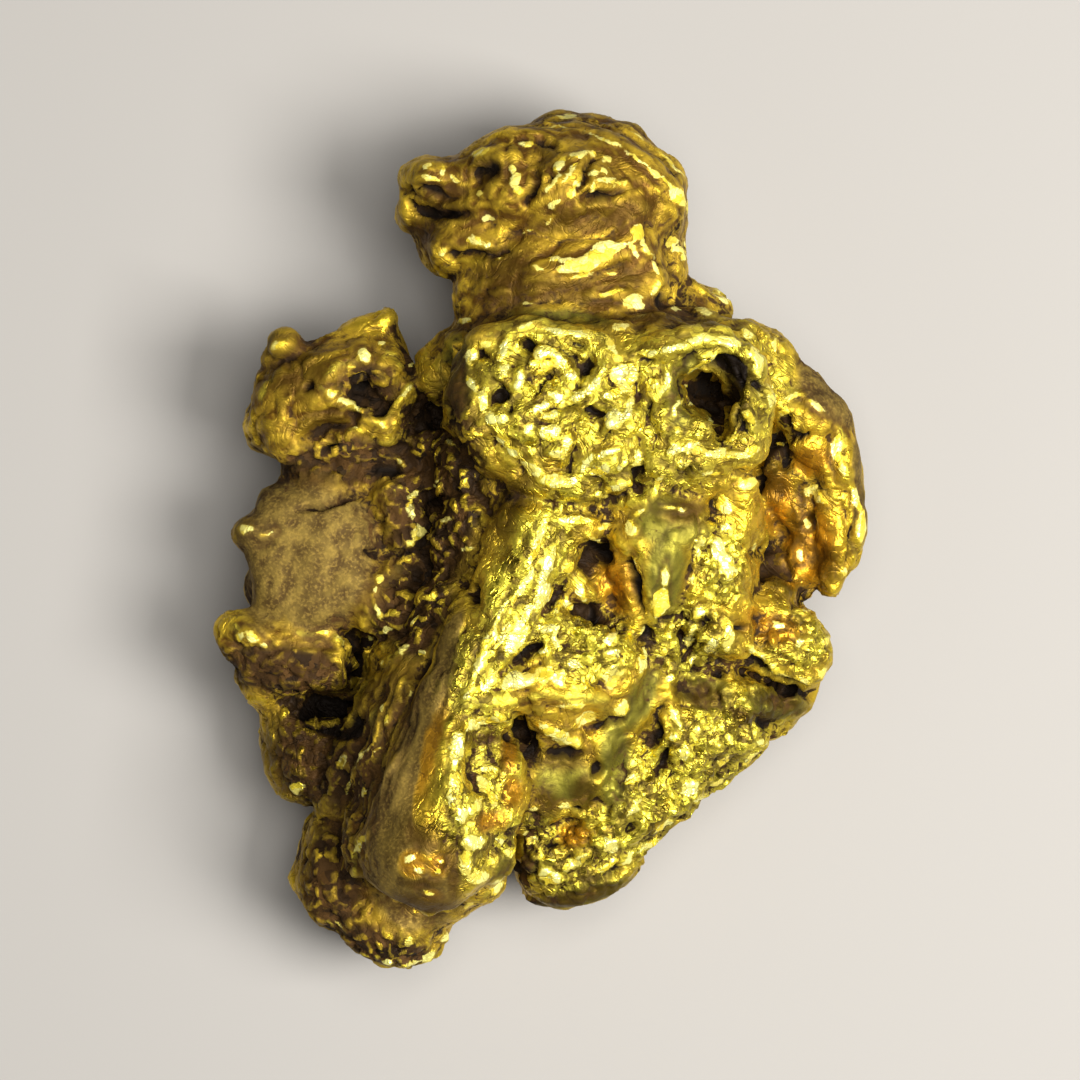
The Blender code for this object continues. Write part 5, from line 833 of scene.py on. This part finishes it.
# Holes are pits pressed into the skin; the stain paints them near black as shade.
hole = (1 - smooth_step(past_hole, -0.06, 0.10)) * upper * (1 - 0.8 * flake)

# Wisps: fine streaks that follow how the metal was dragged, which differs from part to part, and
# how many times longer they are than wide.
DOWN_THE_SPINE = (-0.36, -0.93, 0.1)
ROUND_THE_SHELL = (0.75, -0.66, 0.0)
ACROSS = (0.90, 0.42, 0.0)

wisps = np.zeros(len(places))
left = np.ones(len(places))
for along, length, where in (
    (ROUND_THE_SHELL, 5.0, shell),
    (DOWN_THE_SPINE, 5.0, np.clip(crest + streaks + plate * (places[:, 1] < -3), 0, 1)),
    (DOWN_THE_SPINE, 1.5, plate * (places[:, 0] < 0)),
    (DOWN_THE_SPINE, 5.0, satin),
    (ACROSS, 5.0, np.ones(len(places))),
):
    wisps += left * where * rough(stretched(shaken, along, length), 0.42, 51, 3)
    left = left * (1 - where)

# The head and the worn plates are smoothed first, so that only their own relief shows.
SMOOTHINGS = 5
worn = np.clip(head + plate + 0.6 * satin, 0, 1)[:, None]
for _ in range(SMOOTHINGS):
    places = places + (relaxed(skin, places, 4) - places) * worn * 0.85

seams *= broken * (1 - 0.55 * np.maximum(head, pad)) * (1 - 0.6 * plate)
relief = (0.4 * seams - 0.5 * cracks) * upper
creases = np.zeros(len(places))

# Each kind of chips: their size, how steeply they tilt, how deep the gaps between them are, where
# they lie and the places that their pattern is laid on.
for size, tilt, depth, where, laid in (
    (0.70, 0.16, 0.05, pad, places),
    (0.55, 0.13, 0.05, crest, stretched(places, DOWN_THE_SPINE, 3.5)),
    (0.42, 0.24, 0.12, grainy, places),
    (0.60, 0.22, 0.07, crust * calm, places),
    (1.00, 0.14, 0.03, np.maximum(0.7 * head, plain * upper) * calm, places),
    (0.80, 0.12, 0.04, np.clip(plain + pad + grainy, 0, 1) * (1 - upper) * (1 - plate), places),
    (0.45, 0.14, 0.05, streaks, stretched(places, DOWN_THE_SPINE, 4.5)),
):
    chip, gap = chips(laid, size, int(size * 100) + int(depth * 1000))
    relief += (tilt * chip - depth * gap) * where * (1 - 0.7 * flake)
    creases = np.maximum(creases, gap * where * min(1.0, depth / 0.06))

relief += (0.02 * flake - 0.04 * outline * (1 - flake) * (1 - 0.7 * head) - 0.32 * hole) * upper
relief += 0.035 * wisps * np.clip(head + streaks + 0.4 * plate + 0.5 * old, 0, 1)
relief += 0.06 * rough(places, 1.6, 33, 3) * plain
relief += KNOB_HEIGHT * (patch(places, *KNOBS, soft=0.7) - patch(places, *DENTS, soft=0.7))
relief += 0.02 * rough(places, 0.32, 37, 2) * calm
relief -= relief.mean()
places = places + normals * relief[:, None]

low, high = np.array(cad_box) / MM
places = np.clip(places, low, high)
skin.vertices.foreach_set("co", (places * MM).astype(np.float32).ravel())
skin.update()


# --- the nugget: its finish ----------------------------------------------------------------
#
# Native gold with a little silver: bright and greenish where the river has burnished it, browner
# and duller on faces that are worn matt, and stained dark brown by iron in its hollows. Light and
# shade are painted in too: pale highlights on the flakes, and painted shade in listed patches, on
# the left side, in pits hidden from the sky and in the holes.


def linear(code):
    """The linear colour, with alpha, of an sRGB hex code."""
    values = [int(code[i : i + 2], 16) / 255 for i in (1, 3, 5)]
    return (*[v / 12.92 if v <= 0.04045 else ((v + 0.055) / 1.055) ** 2.4 for v in values], 1.0)


def depth_below(mesh, places, normals, times):
    """How far each corner lies below the average of the skin round it, along its normal."""
    return ((relaxed(mesh, places, times) - places) * normals).sum(axis=1)


def sky_hidden(places, cell=0.25, directions=16):
    """How much of the sky the nugget's own upper side hides from each corner: the mean over
    all directions of the sine of the steepest rise to what lies 0.4 to 4 mm away."""
    top = highest(places, cell)
    total = np.zeros(len(places))
    for angle in np.arange(directions) * math.tau / directions:
        steepest = np.zeros(len(places))
        for reach in (0.4, 0.7, 1.2, 2.0, 3.0, 4.0):
            step = np.array((math.cos(angle), math.sin(angle), 0.0)) * reach
            rise = top[columns(places + step, cell)] - places[:, 2]
            steepest = np.maximum(steepest, rise / np.hypot(rise, reach))
        total += steepest
    return total / directions


normals = read_corners(skin, "vertex_normals", "vector")
fine = np.clip(0.5 + depth_below(skin, places, normals, 4) / 0.10, 0, 1)
broad = np.clip(0.5 + depth_below(skin, places, normals, 60) / 0.8, 0, 1)
rubbed = smooth_step(seams, 0.08, 0.18) * upper
in_chips = smooth_step(creases, 0.5, 1.0)
in_cracks = smooth_step(cracks, 0.10, 0.22) * upper
round_flakes = outline * (1 - 0.5 * head)

# How much of each finish, and of each painted shade, every corner has, from 0 to 1, kept as the
# skin's attributes.
MASKS = {
    "hollow": 0.6 * fine + 0.4 * broad,
    # Painted shade: how much of the sky the nugget's own upper side hides from each corner.
    "sunk": sky_hidden(places) * upper * (1 - 0.6 * ember),
    "patina": plate * (1 - 0.8 * flake) * (1 - 0.8 * ember),
    "satin": satin * (1 - 0.8 * flake),
    # Old gold, partly painted shade on the left side, the head and the neck.
    "old": np.clip(old + 0.3 * plain, 0, 1),
    "stained": np.clip(crust + 0.6 * streaks, 0, 1),
    "ember": ember,
    "burnished": np.clip(0.8 * pad + 0.9 * crest + 0.9 * grainy + 0.5 * rubbed * (1 - head), 0, 1),
    "flake": flake,
    "hole": hole,
    # Painted shade in the listed patches.
    "painted_shade": painted_shade * (1 - flake) * (0.3 + 0.7 * upper),
    "wisps": np.clip(0.5 + 0.8 * wisps, 0, 1),
    "crease": np.clip(in_chips + 0.6 * in_cracks + 0.8 * round_flakes, 0, 1) * (1 - flake),
}
for name, values in MASKS.items():
    skin.attributes.new(name, "FLOAT", "POINT").data.foreach_set("value", values.astype(np.float32))

skin.shade_smooth()


def add(kind, inputs=(), out=0, **settings):
    """Adds a node with these settings to the metal, sets its inputs to values or links them to
    other nodes' outputs, and gives back one of its outputs."""
    node = native_gold.node_tree.nodes.new("ShaderNode" + kind)
    for name, value in settings.items():
        setattr(node, name, value)
    for name, value in dict(inputs).items():
        if isinstance(value, bpy.types.NodeSocket):
            native_gold.node_tree.links.new(value, node.inputs[name])
        else:
            node.inputs[name].default_value = value
    return node.outputs[out]


native_gold = bpy.data.materials.new("native gold, river-worn")
native_gold.use_nodes = True
shader = native_gold.node_tree.nodes["Principled BSDF"]
place = add("TexCoord", out="Object")
mask = {name: add("Attribute", out="Fac", attribute_name=name) for name in MASKS}

# Broad mottling a millimetre or two across, speckles of a quarter of a millimetre, a fine crinkle
# that runs through every face of the metal, folds about a millimetre apart, and grit.
mottle, speckle, crinkle, folds, grit = [
    add(
        "TexNoise",
        {
            "Vector": place,
            "Scale": 1 / (size * MM),
            "Detail": detail,
            "Roughness": harshness,
            "Distortion": twist,
        },
    )
    for size, detail, harshness, twist in (
        (1.50, 4.0, 0.50, 0.0),
        (0.25, 3.0, 0.50, 0.0),
        (0.42, 4.0, 0.62, 1.1),
        (1.10, 3.0, 0.50, 1.6),
        (0.11, 2.0, 0.50, 0.0),
    )
]
folds = add("Math", {0: folds, 1: 0.5}, operation="SUBTRACT")
folds = add("Math", {0: folds}, operation="ABSOLUTE")

# Flakes, painted pale as highlights, end in a ragged edge that follows the crinkle. On old gold they
# are streaky and duller.
streaky = add("Math", {0: mask["old"], 1: mask["wisps"]}, operation="MULTIPLY")
flakes_and_highlights = mask["flake"]
for by, share in ((crinkle, 1.5), (streaky, -0.45)):
    flakes_and_highlights = add("Math", {0: by, 1: share, 2: flakes_and_highlights}, operation="MULTIPLY_ADD")
flakes_and_highlights = add("MapRange", {"Value": flakes_and_highlights, "From Min": 1.07, "From Max": 1.37})
bright = add("Math", {0: mask["old"], 1: -0.40, 2: 1.0}, operation="MULTIPLY_ADD")
flakes_and_highlights = add("Math", {0: flakes_and_highlights, 1: bright}, operation="MULTIPLY")

# Scales: cells 0.4 mm across with ragged borders. Each has its own tone and its own tilt, and
# thin brown lines run between them.
ragged = add("TexNoise", {"Vector": place, "Scale": 1 / (0.3 * MM), "Detail": 2.0}, "Color")
ragged = add("VectorMath", {0: ragged, 1: (0.45 * MM,) * 3, 2: place}, operation="MULTIPLY_ADD")
cells = {"Vector": ragged, "Scale": 1 / (0.40 * MM)}
tilt = add("TexVoronoi", cells, "Color")
centre = tilt.node.outputs["Position"]
tone = add("SeparateColor", {0: tilt})
border = add("TexVoronoi", cells, feature="DISTANCE_TO_EDGE")

# Gold that is browner where it has lain longest, in wisps, and where painted shade darkens the left
# side, the head and the neck, and rubbed bright on what stands proud.
aged_and_shaded = mask["old"]
for by, share in ((mottle, 0.8), (mask["wisps"], -1.1)):
    aged_and_shaded = add("Math", {0: by, 1: share, 2: aged_and_shaded}, operation="MULTIPLY_ADD")
aged_and_shaded = add("MapRange", {"Value": aged_and_shaded, "From Min": 0.0, "From Max": 1.05})
proud = add("MapRange", {"Value": mask["hollow"], "From Min": 0.46, "From Max": 0.24, "To Max": 0.8})
young = add("Math", {0: mask["old"], 1: -0.75, 2: 1.0}, operation="MULTIPLY_ADD")
proud = add("Math", {0: proud, 1: young}, operation="MULTIPLY")

# A matt grey-brown patina, with flecks in it, on the smooth, bruised faces.
bruised = add("Math", {0: mask["patina"], 1: mottle}, operation="ADD")
bruised = add("MapRange", {"Value": bruised, "From Min": 0.7, "From Max": 1.25, "To Max": 0.95})
fleck = add("MapRange", {"Value": grit, "From Min": 0.48, "From Max": 0.66, "To Max": 0.45})

# Iron-brown stain, which fills the creases and hollows but not what lies under a flake, and runs
# in lines between the scales wherever the gold is rubbed or crusted. The same mask also carries
# painted shade in the pits hidden from the sky and in the holes.
deep = add("Math", {0: speckle, 1: 0.5, 2: mask["hollow"]}, operation="MULTIPLY_ADD")
in_hollows = add("MapRange", {"Value": deep, "From Min": 0.87, "From Max": 1.11})
in_crust = add("MapRange", {"Value": deep, "From Min": 0.30, "From Max": 0.59})
in_crust = add("Math", {0: in_crust, 1: mask["stained"]}, operation="MULTIPLY")
in_creases = add("Math", {0: mask["crease"], 1: 0.85}, operation="MULTIPLY")
# Painted shade: the stain fills pits where the nugget hides the sky, broken up by the crinkle.
painted_pit_shade = add("Math", {0: crinkle, 1: 1.1, 2: mask["sunk"]}, operation="MULTIPLY_ADD")
painted_pit_shade = add("MapRange", {"Value": painted_pit_shade, "From Min": 0.95, "From Max": 1.21})
in_folds = add("MapRange", {"Value": folds, "From Min": 0.012, "From Max": 0.0, "To Max": 0.8})
bare = add("Math", {0: bruised, 1: -0.8, 2: 1.0}, operation="MULTIPLY_ADD")
for share in (bare, young):
    in_folds = add("Math", {0: in_folds, 1: share}, operation="MULTIPLY")
stain_and_shade = in_hollows
for other in (in_crust, in_creases, in_folds, painted_pit_shade):
    stain_and_shade = add("Math", {0: stain_and_shade, 1: other}, operation="MAXIMUM")
bare = add("Math", {0: flakes_and_highlights, 1: -0.9, 2: 1.0}, operation="MULTIPLY_ADD")
stain_and_shade = add("Math", {0: stain_and_shade, 1: bare}, operation="MULTIPLY")

lined = 0.10
for by, share in ((flakes_and_highlights, 0.3), (mask["burnished"], 0.7), (mask["stained"], 0.5)):
    lined = add("Math", {0: by, 1: share, 2: lined}, operation="MULTIPLY_ADD")
patchy = add("MapRange", {"Value": mottle, "From Min": 0.38, "From Max": 0.56})
lined = add("Math", {0: lined, 1: patchy}, operation="MULTIPLY")
lines = add("MapRange", {"Value": border, "From Min": 0.09, "From Max": 0.03, "To Max": 0.8})
lines = add("Math", {0: lines, 1: lined}, operation="MULTIPLY", use_clamp=True)
# The lines are dark joints between the scales; the holes are painted dark as shade.
for other in (lines, mask["hole"]):
    stain_and_shade = add("Math", {0: stain_and_shade, 1: other}, operation="MAXIMUM")
# Painted shade: the stain goes near black where a corner hides most of its sky, and in the holes.
painted_deep_shade = add("MapRange", {"Value": mask["sunk"], "From Min": 0.45, "From Max": 0.85, "To Max": 0.8})
painted_deep_shade = add("Math", {0: painted_deep_shade, 1: mask["hole"]}, operation="MAXIMUM")
# Painted shade: the listed patches are darkened brown.
painted_shading = add("Math", {0: mask["painted_shade"], 1: 0.8}, operation="MULTIPLY")

# Each finish runs between two tones, by scale or by wisp. A Mix node's inputs 6 and 7 are its
# two colours and its output 2 is the blend of them.
pale = add("MapRange", {"Value": tone, "From Min": 0.15, "From Max": 0.75})
tint = add("MapRange", {"Value": mask["wisps"], "From Min": 0.15, "From Max": 0.85})
# The flakes' pale yellow is a painted highlight, and the old gold's dark brown is partly painted
# shade.
gold, burnished, amber, patina, olive, flake_and_highlight, iron_and_shade = [
    add("Mix", {0: by, 6: linear(first), 7: linear(second)}, 2, data_type="RGBA")
    for by, first, second in (
        (aged_and_shaded, "#C9A52D", "#5A3E10"),
        (pale, "#857326", "#F0E048"),
        (tone, "#7A5414", "#BE8A20"),
        (tint, "#48371A", "#6F5B2A"),
        (mask["wisps"], "#423B14", "#857C2A"),
        (pale, "#F0D63E", "#FFF890"),
        (tone, "#21160A", "#4C3417"),
    )
]
patina = add("Mix", {0: fleck, 6: patina, 7: linear("#957A38")}, 2, data_type="RGBA")
iron_and_shade = add("Mix", {0: painted_deep_shade, 6: iron_and_shade, 7: linear("#110A04")}, 2, data_type="RGBA")
# Painted light among the layers: the flakes' pale highlight, the patches of painted shade, and the
# painted shade in the stain.
colour = gold
for share, coat in (
    (proud, linear("#D7B831")),
    (mask["burnished"], burnished),
    (mask["ember"], amber),
    (bruised, patina),
    (mask["satin"], olive),
    (flakes_and_highlights, flake_and_highlight),
    (painted_shading, linear("#47320C")),
    (stain_and_shade, iron_and_shade),
):
    colour = add("Mix", {0: share, 6: colour, 7: coat}, 2, data_type="RGBA")

# Stain, patina and age cover the metal and take its gloss away, and so does the painted shade that
# the stain and the old gold carry.
metallic = 1.0
for by, share in ((mask["ember"], -0.2), (mask["satin"], -0.15)):
    metallic = add("Math", {0: by, 1: share, 2: metallic}, operation="MULTIPLY_ADD")
for by, share in ((stain_and_shade, -0.7), (bruised, -0.35), (mask["old"], -0.45)):
    left = add("Math", {0: by, 1: share, 2: 1.0}, operation="MULTIPLY_ADD")
    metallic = add("Math", {0: metallic, 1: left}, operation="MULTIPLY")
metallic = add("Math", {0: flakes_and_highlights, 1: -0.30, 2: metallic}, operation="MULTIPLY_ADD", use_clamp=True)
inputs = {"Value": speckle, "From Min": 0.3, "From Max": 0.7, "To Min": 0.26, "To Max": 0.40}
roughness = add("MapRange", inputs)
for by, share in ((mask["old"], 0.18), (mask["satin"], 0.15), (bruised, 0.24), (stain_and_shade, 0.3)):
    roughness = add("Math", {0: by, 1: share, 2: roughness}, operation="MULTIPLY_ADD")

# The scales' tilts, which make them glint one by one, most of all on crust and burnished gold,
# and then the folds, the crinkle and the grit. All but the grit fade on the calmer faces.
tilted = 0.08
for by, share in (
    (mask["stained"], 0.45),
    (mask["burnished"], 0.22),
    (mask["ember"], 0.25),
    (mask["old"], 0.10),
):
    tilted = add("Math", {0: by, 1: share, 2: tilted}, operation="MULTIPLY_ADD")
lively = 1.0
for by, share in ((mask["old"], -0.45), (mask["satin"], -0.8), (mask["ember"], -0.5)):
    lively = add("Math", {0: by, 1: share, 2: lively}, operation="MULTIPLY_ADD", use_clamp=True)
unbruised = add("Math", {0: bruised, 1: -0.75, 2: 1.0}, operation="MULTIPLY_ADD")
lively = add("Math", {0: lively, 1: unbruised}, operation="MULTIPLY")
tilt = add("VectorMath", {0: tilt, 1: (0.5, 0.5, 0.5)}, operation="SUBTRACT")
way = add("VectorMath", {0: ragged, 1: centre}, operation="SUBTRACT")
facets = add("VectorMath", {0: way, 1: tilt}, "Value", operation="DOT_PRODUCT")
for share in (tilted, lively):
    facets = add("Math", {0: facets, 1: share}, operation="MULTIPLY")
folds = add("MapRange", {"Value": folds, "From Max": 0.06}, interpolation_type="SMOOTHSTEP")

bump = add("Bump", {"Strength": 1.0, "Distance": 0.9, "Height": facets}, "Normal")
for height, strength, depth in ((folds, lively, 0.03), (crinkle, lively, 0.045), (grit, 1.0, 0.012)):
    inputs = {"Strength": strength, "Distance": depth * MM, "Height": height, "Normal": bump}
    bump = add("Bump", inputs, "Normal")

shader.inputs["Specular IOR Level"].default_value = 0.1  # stain and patina are matt crusts
for name, value in (
    ("Base Color", colour),
    ("Metallic", metallic),
    ("Roughness", roughness),
    ("Normal", bump),
):
    native_gold.node_tree.links.new(value, shader.inputs[name])

skin.materials.clear()
skin.materials.append(native_gold)
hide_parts("nugget")
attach(nugget, "root")


# --- the floor, the light and the camera ------------------------------------------------------
#
# A plain pale floor under the nugget, and soft light from the upper right with a darker room
# round it, so that the metal has something bright and something dark to mirror. The camera
# looks straight down on the piece as it lies.

FLOOR = 600  # half the side of the floor
floor_mesh = bpy.data.meshes.new("floor")
corners = [(x * FLOOR * MM, y * FLOOR * MM, 0) for x, y in ((-1, -1), (1, -1), (1, 1), (-1, 1))]
floor_mesh.from_pydata(corners, [], [(0, 1, 2, 3)])
floor = bpy.data.objects.new("floor", floor_mesh)
bpy.context.scene.collection.objects.link(floor)
paper = bpy.data.materials.new("pale paper")  # matt, so that it mirrors nothing
paper.use_nodes = True
paper.node_tree.nodes["Principled BSDF"].inputs["Base Color"].default_value = linear("#8E8A84")
paper.node_tree.nodes["Principled BSDF"].inputs["Roughness"].default_value = 0.9
floor_mesh.materials.append(paper)

room = bpy.data.worlds.new("room")
room.use_nodes = True
room.node_tree.nodes["Background"].inputs["Color"].default_value = linear("#8A8C90")
room.node_tree.nodes["Background"].inputs["Strength"].default_value = 0.05
bpy.context.scene.world = room

MIDDLE = Vector((0, 0, 5))  # what the lights are aimed at


def softbox(name, place, size, watts):
    """A square area light at a place, in millimetres, aimed at the middle of the nugget."""
    light = bpy.data.lights.new(name, "AREA")
    light.size = size * MM
    light.energy = watts
    lamp = bpy.data.objects.new(name, light)
    lamp.location = Vector(place) * MM
    lamp.rotation_euler = (MIDDLE - Vector(place)).to_track_quat("-Z", "Y").to_euler()
    bpy.context.scene.collection.objects.link(lamp)


softbox("key", (85, -15, 145), 70, 0.55)
softbox("top", (25, 10, 240), 130, 0.6)
softbox("fill", (-150, -60, 130), 120, 0.04)

VIEW_WIDTH = 37.40  # what the picture shows from side to side, at the nugget's mid-height
VIEW_SHIFT = -0.05  # how far right of the nugget's middle the camera stands
MID_HEIGHT = 6.0
lens = bpy.data.cameras.new("camera")
lens.lens = 150
lens.sensor_width = 36
lens.clip_start = 0.01
lens.clip_end = 5
camera = bpy.data.objects.new("camera", lens)
above = MID_HEIGHT + VIEW_WIDTH * lens.lens / lens.sensor_width
camera.location = (VIEW_SHIFT * MM, 0, above * MM)
bpy.context.scene.collection.objects.link(camera)
bpy.context.scene.camera = camera
bpy.context.scene.view_settings.view_transform = "Standard"  # colours show as their hex codes
